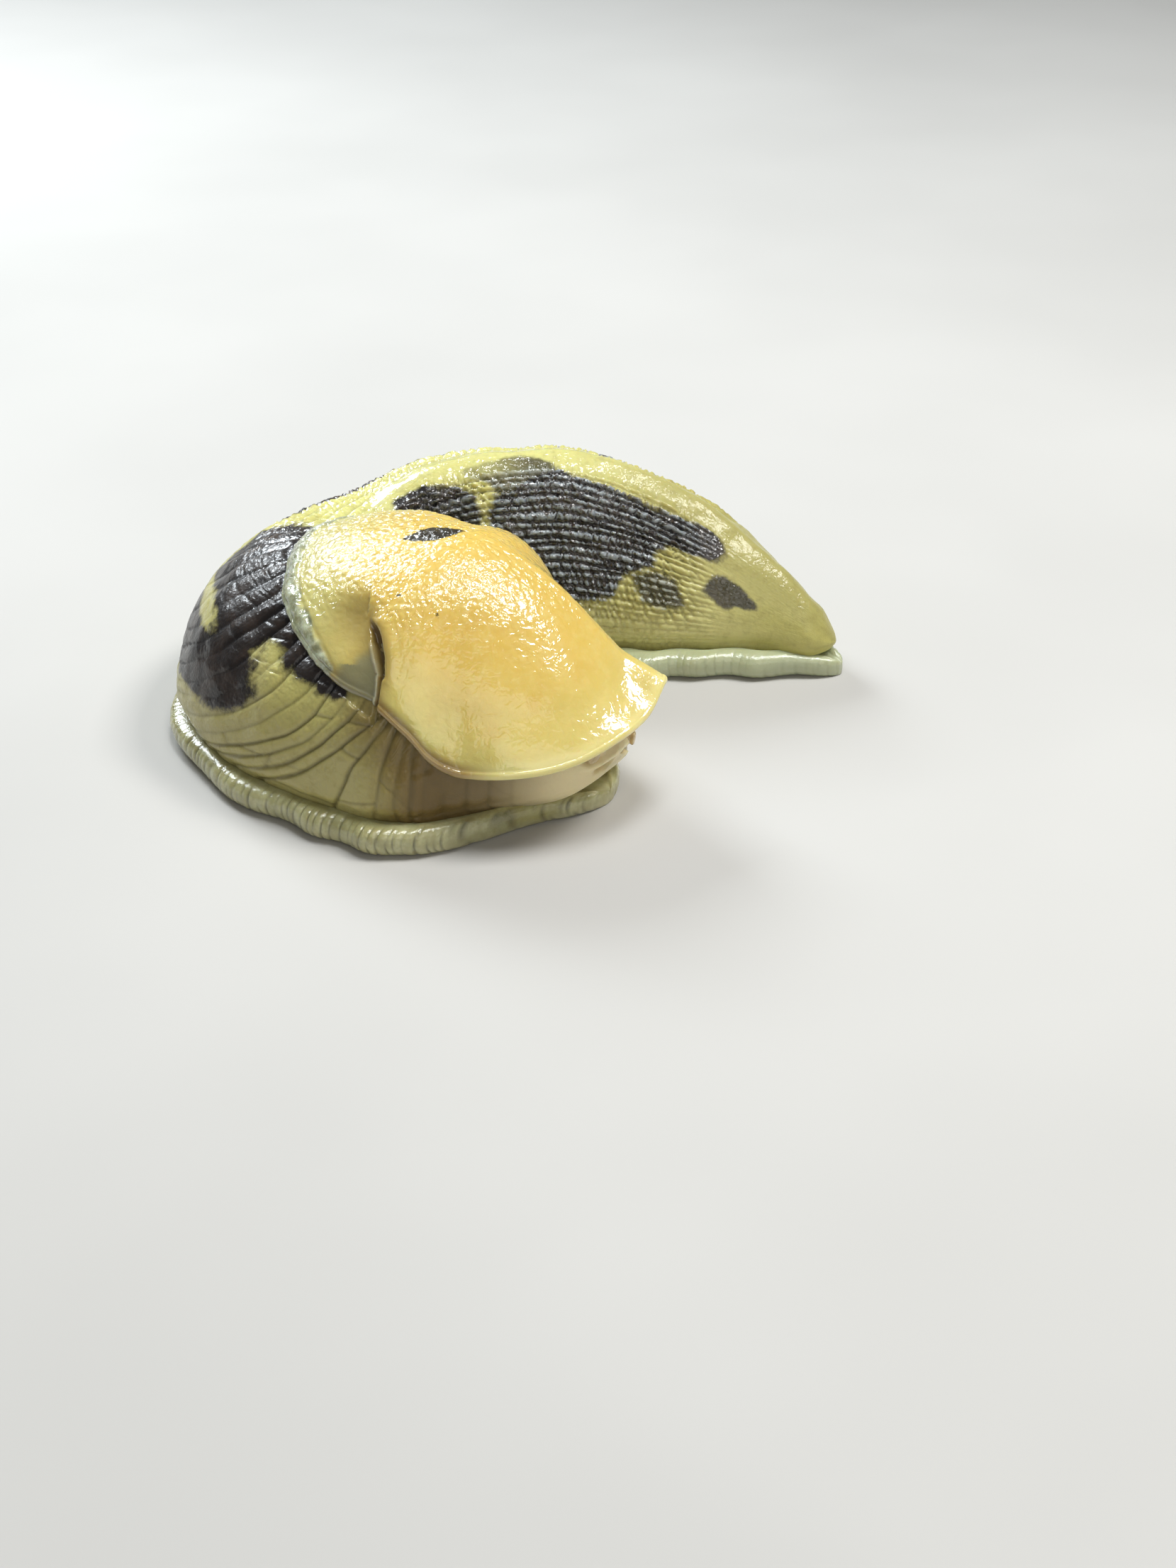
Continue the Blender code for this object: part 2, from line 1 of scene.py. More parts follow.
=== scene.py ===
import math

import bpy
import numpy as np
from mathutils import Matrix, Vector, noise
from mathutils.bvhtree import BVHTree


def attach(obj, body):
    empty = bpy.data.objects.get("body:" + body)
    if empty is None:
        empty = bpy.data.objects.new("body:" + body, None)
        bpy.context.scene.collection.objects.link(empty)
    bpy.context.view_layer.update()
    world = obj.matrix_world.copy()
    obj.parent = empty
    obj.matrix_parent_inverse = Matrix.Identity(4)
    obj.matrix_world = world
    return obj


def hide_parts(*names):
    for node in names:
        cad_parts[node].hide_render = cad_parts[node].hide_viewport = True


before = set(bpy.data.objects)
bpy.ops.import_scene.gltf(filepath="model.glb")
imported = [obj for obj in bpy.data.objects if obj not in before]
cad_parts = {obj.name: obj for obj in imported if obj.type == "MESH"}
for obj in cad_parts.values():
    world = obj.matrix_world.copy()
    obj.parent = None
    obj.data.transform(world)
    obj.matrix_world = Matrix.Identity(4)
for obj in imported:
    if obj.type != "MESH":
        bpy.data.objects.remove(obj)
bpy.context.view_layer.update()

# The looks of a spotted banana slug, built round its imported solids.
#
# Sizes are in millimetres and become metres when a mesh is made. The slug's own line, the spine, has
# s, the distance from the tip of the snout. On the trunk phi goes over the back, from 0 at the base of
# the right flank to pi at the base of the left. On the mantle q goes from 0 at its centre to 1 on its
# margin, and theta is 0 forwards, positive to the slug's left.

MM = 0.001
GAP = 0.3  # between solids that touch
SHIFT = (-1.9658, -0.8471)  # from the place of the spine's own numbers to the frame's

# ---------------------------------------------------------------------------- sizes that the solids share

SNOUT = (14.0, -21.6)
SNOUT_COURSE = 147.0  # degrees from +X, looking from the snout towards the tail
BENDS = ((25.0, 40.0, 138.0), (63.0, 42.0, 38.0))  # start, length, degrees turned clockwise
LENGTH = 109.0

# By s: half the trunk's width on its right and left, the height of its back, and the power of its section.
HALF_RIGHT = ((0, 7.3), (4, 8.6), (8, 13.2), (13, 19.9), (20, 22.3), (28, 22.5), (36, 22.0), (43, 19.4),
              (50, 16.2), (55, 15.2), (69, 13.5), (85, 11.4), (97, 7.4), (104, 4.2), (109, 2))
HALF_LEFT = ((0, 6.2), (4, 7.2), (8, 9.9), (13, 13), (20, 14.6), (27, 12.8), (36, 9.2), (43, 8.2), (55, 8.6),
             (69, 10.6), (85, 10.4), (97, 6.6), (104, 3.8), (109, 2))
BACK = ((0, 11), (4, 13), (8, 16.5), (13, 21), (20, 23.6), (30, 23.4), (37, 22.8), (44, 20.8), (50, 20.4),
        (58, 22.9), (66, 24), (72, 24), (80, 22.5), (89, 19.2), (98, 14.1), (106, 8), (109, 5))
SECTION = ((0, 2.1), (43, 2.0), (60, 1.8), (85, 1.55), (109, 1.5))  # power: 2 is round, less is keeled
FLANK_POWER, FLANK_SWELL = 0.85, 0.3
KEEL_HEIGHT = ((0, 0), (46, 0), (62, 0.5), (90, 0.8), (106, 0.4), (109, 0))
KEEL_WIDTH = 1.3
SNOUT_ROUND, SNOUT_MID = 5.5, 6.6  # length of the rounded end, and the height it closes at
TAIL_ROUND, TAIL_MID = 3.0, 4.2

FOOT_HEIGHT = 3.3
# By s, how far the foot stands out beyond the trunk.
FOOT_OUT_RIGHT = ((1, 1.4), (13, 2.4), (20, 1.6), (33, 1.3), (40, 0.8), (48, 0.9), (58, 1.8), (92, 2.0),
                  (109, 1.6))
FOOT_OUT_LEFT = ((1, 1.6), (13, 2.0), (24, 1.2), (36, 0.8), (58, 0.8), (70, 2.2), (92, 2.4), (109, 1.8))
FOOT_FRONT, FOOT_REAR, FOOT_ROUND = 1.0, 110.0, 9.0
FOOT_END_HEIGHT = 0.45
RIM_FULL_AT = 4.0  # half-width from which the rim has its full section
RIM_WAVE, RIM_WAVE_LENGTH = 0.35, 7.3
RIM_LIFT, RIM_LIFT_LENGTH = 0.45, 11.9
# The rim's section: out from the foot's edge, and height.
RIM_SECTION = ((-2.4, 0.0), (-1.1, 0.1), (-0.3, 0.6), (0.0, 1.4), (-0.2, 2.3), (-0.9, 3.0), (-2.2, 3.3))
TRUNK_BASE = FOOT_HEIGHT + GAP

MANTLE_CENTRE = (-2.0, -11.5)
MANTLE_COURSE = -33.0  # degrees from +X to the mantle's front
MANTLE_FRONT, MANTLE_REAR, MANTLE_LEFT, MANTLE_RIGHT = 22.2, 21.7, 13.6, 19.2
MANTLE_ARC = 74.0  # degrees of a circle in its section, from the centre to the margin
# Height of the crown by distance forwards of the centre, and of the free margin by theta in degrees.
CROWN = ((-24, 27.2), (-12, 28), (0, 28.2), (8, 26.3), (16, 22.5), (23, 18))
FREE_MARGIN = ((-180, 5), (-100, 5), (-80, 9.4), (-52, 10), (-33, 10.4), (-20, 11.5), (-7, 12.4), (8, 13),
               (24, 16.1), (31, 12.9), (38, 10.8), (50, 10.4), (75, 11.6), (100, 13.4), (118, 16), (132, 20),
               (145, 22.5), (180, 5))
HOOD_BACK, HOOD_DEEP = 9.0, 3.0  # forwards of the centre: all hood from there, and cushion up to there
# The hood's far corner and the waist beside it: theta and width in degrees, how far out or in as a share of
# the radius, and the q at which the waist is at its full.
CORNER_AT, CORNER_WIDTH, CORNER_OUT = 25.0, 11.0, 0.07
WAIST_AT, WAIST_WIDTH, WAIST_IN, WAIST_FULL_AT = 60.0, 26.0, 0.20, 0.8
MARGIN_THICK, HOOD_THICK, CUSHION_THICK = 0.9, 2.4, 3.6
MARGIN_FLARE, LIP_START, THICK_AT = 0.05, 0.78, 0.45
MARGIN_COLUMNS = 76
MARGIN_EVEN = ((1 / 9, -2), (2 / 9, -1), (3 / 9, 0), (2 / 9, 1), (1 / 9, 2))  # weight, columns along

FEELERS = {  # s, offset from the middle, lift of the aim, turn of the aim, radius, length
    "eye_stalk": (3.3, 2.9, 28.0, 12.0, 1.3, 1.7),
    "lower_feeler": (1.1, 3.8, -6.0, 22.0, 0.85, 0.9),
}
FEELER_ROOT = 1.0  # how deep a feeler starts below the skin
FEELER_COLUMN, FEELER_CAP = 0.8, 0.2  # shares of its length: its straight part and its rounded end
EYE_RADIUS = 0.42
MOUTH_HALF, MOUTH_HEIGHT, MOUTH_ARCH = 3.2, 6.0, 0.3

# ---------------------------------------------------------------------------- sizes of the looks alone

# Where rings or columns of points stand: a table of steps has a place, and how far apart they are there.
SNOUT_RINGS, TAIL_RINGS = 34, 12
TRUNK_STEP = ((5, 0.30), (13, 0.26), (16, 0.15), (27, 0.145), (30, 0.108), (40, 0.105), (44, 0.14),
              (48, 0.20), (58, 0.21), (64, 0.27), (109, 0.27))
TUCK = ((1.0, 2.7), (6.0, 2.4))  # the trunk's edge turned under: in from the base, and height
CHART_COLUMNS = 181
COLUMN_EVEN = 33  # rings over which the columns' places are evened out

# Furrows in front run down the flank from the mantle and sweep back to the foot. Each is named by the s
# at which it is a given height up the flank, and leans from there.
FURROWS_AT = (5.2, 6.4, 7.7, 9.1, 10.6, 12.0, 13.3, 14.5, 15.3, 16.3, 17.4, 19.9, 21.9, 24.3, 26.8, 29.1,
              31.0, 32.8, 34.5, 36.1, 37.8, 39.6, 41.5, 43.4, 45.3, 47.2, 49.1, 51.0, 53.0, 55.0)
LEAN = ((0, 9.7), (1.7, 8.0), (3.7, 6.0), (5.7, 4.2), (7, 3.0), (8.9, 1.7), (10.4, 0.7), (12, 0),
        (14, -0.6), (20, -2.4), (32, -5.4))  # millimetres up the flank, and towards the tail
LEAN_SHARE = ((14.5, 0), (15.3, 0.2), (16.2, 0.6), (17.5, 1.3), (21.8, 1.25), (26.8, 1.0), (60, 0.9))

# Behind, rows of tubercles run lengthwise: so many up each flank to the smooth strip along the keel.
# Each row's columns of points are at these shares of its width.
RIGHT_ROWS, RIGHT_SHARES = 17, (0.0, 0.2, 0.5, 0.8)
LEFT_ROWS, LEFT_SHARES = 23, (0.0, 0.2, 0.5, 0.8)
KEEL_COLUMNS = 10
KEEL_STRIP = ((0, 1.5), (46, 1.6), (58, 2.6), (85, 3.0), (97, 2.4), (109, 0.8))
ROWS_FROM, ROWS_OVER = 41.0, 6.0  # s at which the furrows start to give way to rows, and over how far
ROWS_SOONER = 19.0  # how much sooner on the left, the inside of the bend
LINE_COUNT = 128  # lines that have wanders and strengths of their own
LEFT_LINES = 40  # number of the left's first line, so that its draws aren't the right's
CHARTED = ("along", "up", "from_right", "from_left", "fan_row", "fan_mm", "lengthwise_row", "row_mm",
           "fan_share", "deep", "blotch", "dark", "on_left")  # the chart's maps that the skin reads

# How far the body's relief stands out or in: front is the fan of furrows, patch the scaly part of it high
# on the right of the bend, and rear the tubercles.
FAN_GROOVE, ROW_GROOVE = 0.20, 0.17  # half the width of a furrow
RIDGE_FRONT, RIDGE_PATCH, RIDGE_REAR = 0.10, 0.16, 0.48
GROOVE_FRONT, GROOVE_LESS = 0.32, 0.12  # and how much less deep the rear's are
CREASE_FRONT, CREASE_SCALY, CREASE_REAR = 0.10, 0.06, 0.36
OWN_HEIGHT = 0.12  # between the highest and the lowest tubercle
BROAD_LUMPS, SMALL_LUMPS, SKIN_LOWER = 0.22, 0.10, 0.16
CEILING_ROOM = 0.15  # below the gap under the mantle, for the skin's grains

# Dark blotches: how dark each is, and its outline in s and degrees of phi.
BLOTCHES = (
    (1.0, ((44.4, 78), (45, 72), (45.6, 64), (45.4, 57), (45, 52), (44.2, 48), (43.2, 45), (41.8, 42.5),
           (40.4, 44), (39, 46), (37, 42.5), (36.3, 40), (36.4, 37), (37.8, 37), (40, 39), (43.5, 39),
           (46.8, 31), (46.5, 20), (42.5, 13.5), (39.2, 14), (37.4, 14.5), (36.2, 14.5), (34.8, 14.5),
           (33, 16), (31.8, 20), (30.8, 26), (30.8, 29), (31.2, 33), (31.6, 38), (32, 40), (31.6, 43),
           (31.4, 46), (30.6, 44.5), (30, 41), (29, 38), (28.2, 38), (27.2, 37), (26.6, 36), (25.6, 36),
           (24.2, 34.5), (22.6, 34.5), (21.5, 36), (22, 44), (25, 60), (31, 80), (38, 92), (42, 90))),
    (1.0, ((51.6, 94), (53.6, 96), (55.6, 98), (57.8, 102), (60.6, 106), (62.4, 112), (63.4, 118),
           (63.6, 130), (62.6, 136), (60, 140), (56, 138), (52.6, 122), (51, 106))),
    (0.86, ((61, 99), (63, 96), (65.6, 93), (67.6, 92), (69.6, 92), (71.8, 94.5), (74.2, 100), (72, 110),
            (69, 117), (66.4, 120), (65.4, 114), (64, 108), (62.6, 104))),
    (1.0, ((64.6, 120), (66.6, 112), (68, 105), (69.5, 101.5), (71.2, 100.5), (73.2, 101), (74.6, 103),
           (77, 105), (79.8, 106), (82, 107.5), (84.2, 108), (86.6, 107.5), (89, 106), (91.2, 104.5),
           (93.2, 103), (94.8, 105), (96, 110), (96, 118), (94.8, 124), (93.2, 126), (91.2, 126),
           (89.4, 125), (88, 128), (87.2, 133), (87.6, 138), (85.4, 142), (82.8, 146), (81.8, 150),
           (81.6, 155), (79.6, 157), (77.4, 158), (75, 160), (70, 160), (67, 152), (65.2, 140),
           (64.2, 130))),
    (0.82, ((83.6, 142), (86, 141), (88.4, 138), (90.6, 142), (91.8, 150), (91.6, 154), (89, 156),
            (85.6, 154.5), (84.4, 148))),
    (0.92, ((95.4, 128), (97.4, 128), (99.2, 131), (100.6, 138), (100.8, 142), (99.4, 146), (98, 146),
            (97, 151), (95.6, 147), (94.2, 146), (93.4, 142), (93.8, 135))),
    (0.9, ((44.2, 87), (46, 89), (48, 92), (46, 93.5), (44, 91))),
    (1.0, ((47, 60), (50, 68), (57, 72), (64, 67), (66, 52), (60, 38), (53, 34), (48, 44))),
    (0.95, ((70, 74), (76, 78), (83, 72), (90, 66), (93, 52), (88, 40), (80, 34), (73, 44), (69, 60))),
    (0.9, ((96, 62), (99, 60), (101, 48), (98, 36), (95, 44))),
    (0.9, ((27, 112), (33, 118), (39, 130), (37, 148), (31, 150), (27, 134))),
)
BLOTCH_DEGREE = 0.33  # millimetres of skin to a degree of phi, for the outlines' distances

FOOT_STEP = ((1, 0.16), (25, 0.15), (33, 0.10), (45, 0.08), (58, 0.10), (68, 0.15), (110, 0.15))
RIM_POINTS = 26
PLEAT_PITCH, PLEAT_DEPTH, PLEAT_LEAN, PLEAT_WANDER = 1.0, 0.18, 0.22, 2.4
LEFT_PLEATS = 200  # added to the way walked along the left's rim, so that its pleats differ
PLEAT_ROOM = 0.17  # by which the rim is drawn in, so that its pleats stay inside the solids

MANTLE_ROWS, LIP_ROWS, UNDER_ROWS = 126, 7, 18
LIP_OUT, CORNER_LIP = 0.3, 0.35  # how far the margin's lip stands out, and how much more at the corner
MANTLE_STEP = ((-180, 0.98), (-114, 0.9), (-104, 0.40), (-83, 0.36), (-74, 0.8), (-60, 0.98), (180, 0.98))
# The breathing pore: its crisp front edge, and by the run down it in millimetres, the width and depth of
# the hollow behind it and how far behind the edge a pale fold stands in it.
PORE_EDGE = ((0.655, -103.5), (0.666, -99.5), (0.684, -95.4), (0.716, -92.4), (0.772, -89.5), (0.81, -87.9),
             (0.842, -87.3), (0.872, -87.0), (0.894, -87.5), (0.931, -87.4), (0.994, -87.2), (1.03, -87.0))
HOLLOW_WIDTH = ((0, 0.0), (1.6, 0.9), (3.4, 1.4), (5.2, 1.4), (6.4, 1.22), (7.6, 0.82), (8.8, 0.46),
                (12, 0.3))
HOLLOW_DEPTH = ((0, 0.0), (1.8, 0.5), (3.6, 0.9), (7.0, 1.05), (8.4, 0.7), (12, 0.6))
FOLD_BEHIND = ((3.2, 0.78), (4.4, 0.6), (6.6, 0.3))
VALLEY_DEPTH, VALLEY_WIDTH = 0.75, 2.9
STRIP_HEIGHT, STRIP_GROOVE = 0.15, 0.10
FRILL_HEIGHT, SWELL_HEIGHT = 0.14, 0.20
RIM_WIDTH = ((-180, 2.0), (-150, 1.9), (-127, 1.7), (-117, 1.45), (-110, 1.05), (-105, 0.45), (-102.8, 0),
             (95, 0), (105, 0.6), (120, 1.4), (150, 2.0), (180, 2.0))  # of the strip round the rear, by theta
# How much painted shade darkens the flank below the mantle's margin, by theta.
PAINTED_OVERHANG_SHADE = ((-180, 0), (-104, 0), (-90, 1), (-55, 1), (-40, 0.5), (-20, 0), (180, 0))
LIP_PALE = ((-180, 0), (-66, 0.0), (-50, 1), (95, 1), (115, 0), (180, 0))  # how pale the lip is, by theta
MANTLE_SPOT = ((-9.3, -11.9), (-2.2, -11.2), 1.65)  # its two ends, and half its width
FRECKLES, FRECKLE_RADIUS = ((-9.0, -20.4), (-4.8, -22.4), (0.3, -15.8)), 0.06


def smooth(u):
    """0 to 1 with level ends."""
    u = np.clip(u, 0.0, 1.0)
    return u * u * (3 - 2 * u)


def bell(distance, width):
    return np.exp(-((distance / width) ** 2))


def table(stations, at):
    """Value at a place, on a curve through the stations that never overshoots them."""
    xs, ys = np.array(stations, float).T
    slope = np.diff(ys) / np.diff(xs)
    before, after = slope[:-1], slope[1:]
    turn = before * after > 0
    mean = np.where(turn, 2 * before * after / np.where(turn, before + after, 1), 0)
    tangent = np.concatenate([slope[:1], mean, slope[-1:]])
    at = np.clip(at, xs[0], xs[-1])
    i = np.clip(np.searchsorted(xs, at, side="right") - 1, 0, len(xs) - 2)
    span = xs[i + 1] - xs[i]
    u = (at - xs[i]) / span
    rise = u * u * (3 - 2 * u)
    bend = u * (1 - u) * span * (tangent[i] * (1 - u) - tangent[i + 1] * u)
    return ys[i] + (ys[i + 1] - ys[i]) * rise + bend


# ---------------------------------------------------------------------------- the slug's own shape

def trace_spine():
    """Arrays of s, x, y and course, found by walking along the spine in small steps."""
    s = np.linspace(-20, LENGTH + 20, 3001)
    course = np.full_like(s, SNOUT_COURSE)
    for start, length, turned in BENDS:
        course -= turned * smooth((s - start) / length)
    course = np.radians(course)
    step = s[1] - s[0]
    middle = (course[1:] + course[:-1]) / 2
    x = np.concatenate([[0], np.cumsum(np.cos(middle)) * step])
    y = np.concatenate([[0], np.cumsum(np.sin(middle)) * step])
    x += SNOUT[0] + SHIFT[0] - np.interp(0, s, x)
    y += SNOUT[1] + SHIFT[1] - np.interp(0, s, y)
    return s, x, y, course


SPINE = trace_spine()


def spine(s):
    """Point, direction to the tail and direction to the slug's right, at s."""
    x, y, course = (np.interp(s, SPINE[0], column) for column in SPINE[1:])
    along = np.stack([np.cos(course), np.sin(course)], -1)
    right = np.stack([-np.sin(course), np.cos(course)], -1)
    return np.stack([x, y], -1), along, right


def place(s, across, height):
    """Points of sections: s has one value a row, and across and height have a row of values each."""
    centre, _, right = spine(s)
    plan = centre[:, None, :] + across[..., None] * right[:, None, :]
    return np.concatenate([plan, height[..., None]], -1)


def round_end(distance, length):
    """Size of a rounded end, 0 at its tip to 1 where it meets the full section."""
    u = np.clip(distance / length, 0.0, 1.0)
    return np.sqrt(np.clip(1 - (1 - u) ** 2, 0.0, 1.0))


def rounded(s, across, height):
    """A section drawn smaller towards the snout and the tip of the tail."""
    for tip, length, mid in ((s, SNOUT_ROUND, SNOUT_MID), (LENGTH - s, TAIL_ROUND, TAIL_MID)):
        size = round_end(tip, length)
        across = across * size
        height = mid + (height - mid) * size
    return across, height


def trunk_shape(s, phi):
    """Offset to the right and height of the trunk's surface."""
    c, n = np.cos(phi), np.maximum(np.sin(phi), 0)
    half = np.where(c >= 0, table(HALF_RIGHT, s), table(HALF_LEFT, s))
    swell = FLANK_SWELL * np.sin(math.pi * np.abs(2 * phi / math.pi - 1))
    across = np.sign(c) * (half * np.abs(c) ** FLANK_POWER + swell)
    height = TRUNK_BASE + (table(BACK, s) - TRUNK_BASE) * n ** (2 / table(SECTION, s))
    height = height + table(KEEL_HEIGHT, s) * bell(across, KEEL_WIDTH) * n
    return rounded(s, across, height)


def stations(step_table, start, end):
    """Places from start to end, as far apart as the step table says."""
    fine = np.linspace(start, end, 4001)
    count = np.concatenate([[0], np.cumsum(np.diff(fine) / np.interp(fine[1:], *np.array(step_table).T))])
    return np.interp(np.linspace(0, count[-1], round(count[-1]) + 1), count, fine)


class Mantle:
    """The mantle's upper and lower surface."""

    def __init__(self):
        s = np.arange(0.5, 58, 0.5)
        phi = np.linspace(0, math.pi, 61)
        across, height = trunk_shape(s[:, None], phi[None, :])
        points = place(s, across, height)
        rows, width = points.shape[:2]
        faces = [(r * width + i, r * width + i + 1, (r + 1) * width + i + 1, (r + 1) * width + i)
                 for r in range(rows - 1) for i in range(width - 1)]
        tree = BVHTree.FromPolygons([Vector(p) for p in points.reshape(-1, 3).tolist()], faces)
        angles = np.linspace(-math.pi, math.pi, MARGIN_COLUMNS + 1)
        free = table(FREE_MARGIN, np.degrees(angles[:-1]))
        held = np.array([self.rest_height(tree, theta) for theta in angles[:-1]])
        rough = np.maximum(free, held)
        even = sum(weight * np.roll(rough, turn) for weight, turn in MARGIN_EVEN)
        margin = np.maximum(even, held)
        beyond = np.concatenate([angles[-3:-1] - 2 * math.pi, angles, angles[1:3] + 2 * math.pi])
        self.margin = np.column_stack([beyond, np.concatenate([margin[-2:], margin, margin[:3]])])

    def rest_height(self, tree, theta):
        x, y = self.plan(1.0, theta)
        hit = tree.ray_cast(Vector((float(x), float(y), 2 * CROWN[0][1])), Vector((0, 0, -1)))[0]
        return hit.z + GAP + MARGIN_THICK if hit else 0.0

    @staticmethod
    def half_lengths(theta):
        length = np.where(np.cos(theta) >= 0, MANTLE_FRONT, MANTLE_REAR)
        width = np.where(np.sin(theta) >= 0, MANTLE_LEFT, MANTLE_RIGHT)
        return length, width

    @staticmethod
    def reach(q, theta):
        """Distance from the centre for q, as a share of the half-lengths."""
        arc = math.radians(MANTLE_ARC)
        lip = smooth((q - LIP_START) / (1 - LIP_START))
        front = np.clip(np.cos(theta), 0, 1)
        corner = CORNER_OUT * bell(np.degrees(theta) - CORNER_AT, CORNER_WIDTH)
        waist = WAIST_IN * bell(np.degrees(theta) - WAIST_AT, WAIST_WIDTH) * smooth(q / WAIST_FULL_AT)
        return (np.sin(q * arc) / math.sin(arc) * (1 - MARGIN_FLARE - waist)
                + lip * (MARGIN_FLARE * (0.4 + 0.9 * front) + corner))

    @classmethod
    def plan(cls, q, theta):
        length, width = cls.half_lengths(theta)
        rho = cls.reach(q, theta)
        t, a = rho * length * np.cos(theta), rho * width * np.sin(theta)
        turn = math.radians(MANTLE_COURSE)
        return (MANTLE_CENTRE[0] + SHIFT[0] + t * math.cos(turn) - a * math.sin(turn),
                MANTLE_CENTRE[1] + SHIFT[1] + t * math.sin(turn) + a * math.cos(turn))

    def upper(self, q, theta):
        arc = math.radians(MANTLE_ARC)
        rise = (np.cos(q * arc) - math.cos(arc)) / (1 - math.cos(arc))
        forward = self.reach(q, theta) * self.half_lengths(theta)[0] * np.cos(theta)
        margin = table(self.margin, theta)
        return margin + (table(CROWN, forward) - margin) * rise

    def thickness(self, q, theta):
        forward = self.reach(q, theta) * self.half_lengths(theta)[0] * np.cos(theta)
        hood = smooth((forward - HOOD_DEEP) / (HOOD_BACK - HOOD_DEEP))
        full = CUSHION_THICK + (HOOD_THICK - CUSHION_THICK) * hood
        return MARGIN_THICK + (full - MARGIN_THICK) * smooth((1 - q) / (1 - THICK_AT))

    def over(self, x, y):
        """q and theta of the mantle over plan points, with q above 1 outside it."""
        turn = math.radians(MANTLE_COURSE)
        x, y = x - MANTLE_CENTRE[0] - SHIFT[0], y - MANTLE_CENTRE[1] - SHIFT[1]
        t = x * math.cos(turn) + y * math.sin(turn)
        a = y * math.cos(turn) - x * math.sin(turn)
        length = np.where(t >= 0, MANTLE_FRONT, MANTLE_REAR)
        width = np.where(a >= 0, MANTLE_LEFT, MANTLE_RIGHT)
        theta = np.arctan2(a / width, t / length)
        rho = np.hypot(a / width, t / length)
        low, high = np.zeros_like(rho), np.ones_like(rho)
        for _ in range(18):
            middle = (low + high) / 2
            further = self.reach(middle, theta) < rho
            low, high = np.where(further, middle, low), np.where(further, high, middle)
        margin = self.reach(1.0, theta)
        return np.where(rho > margin, rho / margin, high), theta


MANTLE = Mantle()


# ---------------------------------------------------------------------------- the trunk's own chart

def normals_of(points):
    """Unit normals of a grid of points, by its neighbours."""
    n = np.cross(np.gradient(points, axis=1), np.gradient(points, axis=0))
    return n / np.maximum(np.linalg.norm(n, axis=-1, keepdims=True), 1e-9)


def outline_distance(outline, s, degrees):
    """Distance inside a closed, rounded outline, negative outside it."""
    scale = np.array([1.0, BLOTCH_DEGREE])
    corners = np.array(outline, float) * scale
    for _ in range(3):  # corners are cut, so that the outline is round
        after = np.roll(corners, -1, 0)
        corners = np.stack([0.75 * corners + 0.25 * after, 0.25 * corners + 0.75 * after], 1).reshape(-1, 2)
    at = np.stack([s, degrees * BLOTCH_DEGREE], -1)
    nearest = np.full(s.shape, 1e9)
    inside = np.zeros(s.shape, bool)
    for a, b in zip(corners, np.roll(corners, -1, 0)):
        side, from_a = b - a, at - a
        share = np.clip((from_a @ side) / (side @ side), 0, 1)
        nearest = np.minimum(nearest, np.linalg.norm(from_a - share[..., None] * side, axis=-1))
        crosses = (a[1] > at[..., 1]) != (b[1] > at[..., 1])
        rise = side[1] if side[1] else 1e-9
        inside ^= crosses & (at[..., 0] < a[0] + (at[..., 1] - a[1]) * side[0] / rise)
    return np.where(inside, nearest, -nearest)


def furrow_name(s, up):
    """The s that names the furrow through a point, from its s and its height up the flank."""
    low, high = s - 16.0, s + 6.0
    lean = table(LEAN, up)
    for _ in range(20):
        middle = (low + high) / 2
        behind = middle + table(LEAN_SHARE, middle) * lean < s
        low, high = np.where(behind, middle, low), np.where(behind, high, middle)
    return high


def wander(line, at, size, long, short):
    """How far a furrow strays from its line, in rows, at a place along it."""
    phase = np.random.default_rng(11).uniform(0, 2 * math.pi, (LINE_COUNT, 2))[line % LINE_COUNT]
    return size * (np.sin(at / long + phase[..., 0]) + 0.5 * np.sin(at / short + phase[..., 1]))


def row_wander(line, s, rows):
    """Wander of a lengthwise furrow: none at the foot or beside the keel."""
    own_line = line % LEFT_LINES
    return wander(line, s, 0.13, 4.3, 1.9) * (own_line > 0) * (own_line < rows)


def blotch_maps(s, degrees):
    """How far inside the nearest blotch each point is, and how dark that blotch is there."""
    blotch, dark = np.full(s.shape, -9.0), np.zeros(s.shape)
    for strength, outline in BLOTCHES:
        reach = outline_distance(outline, s, degrees)
        dark = np.where(reach > blotch, strength, dark)
        blotch = np.maximum(blotch, reach)
    arm = smooth((70.5 - s) / 7) * smooth((108 - degrees) / 6) * (s > 58) * (degrees > 90)
    return blotch, dark * (1 - 0.5 * arm)


def furrow_depth(s, up, from_keel, on_left):
    """How deep the furrows are: shallow on the keel, in a calm patch of the bend and at both ends."""
    strip = smooth((from_keel - table(KEEL_STRIP, s) * 0.55) / 2.2)
    strip = 1 - (1 - strip) * smooth((s - 46) / 8)
    outer = 1 - 0.7 * bell(s - 40, 7) * smooth((21 - up) / 6) * (1 - on_left)
    calm = 1 - 0.55 * bell(s - 34, 4.5) * bell(up - 9.5, 5) * (1 - on_left)
    tail_end = 1 - 0.9 * smooth((s - 91) / 7)
    return strip * outer * calm * tail_end * smooth((s - 4.5) / 4)


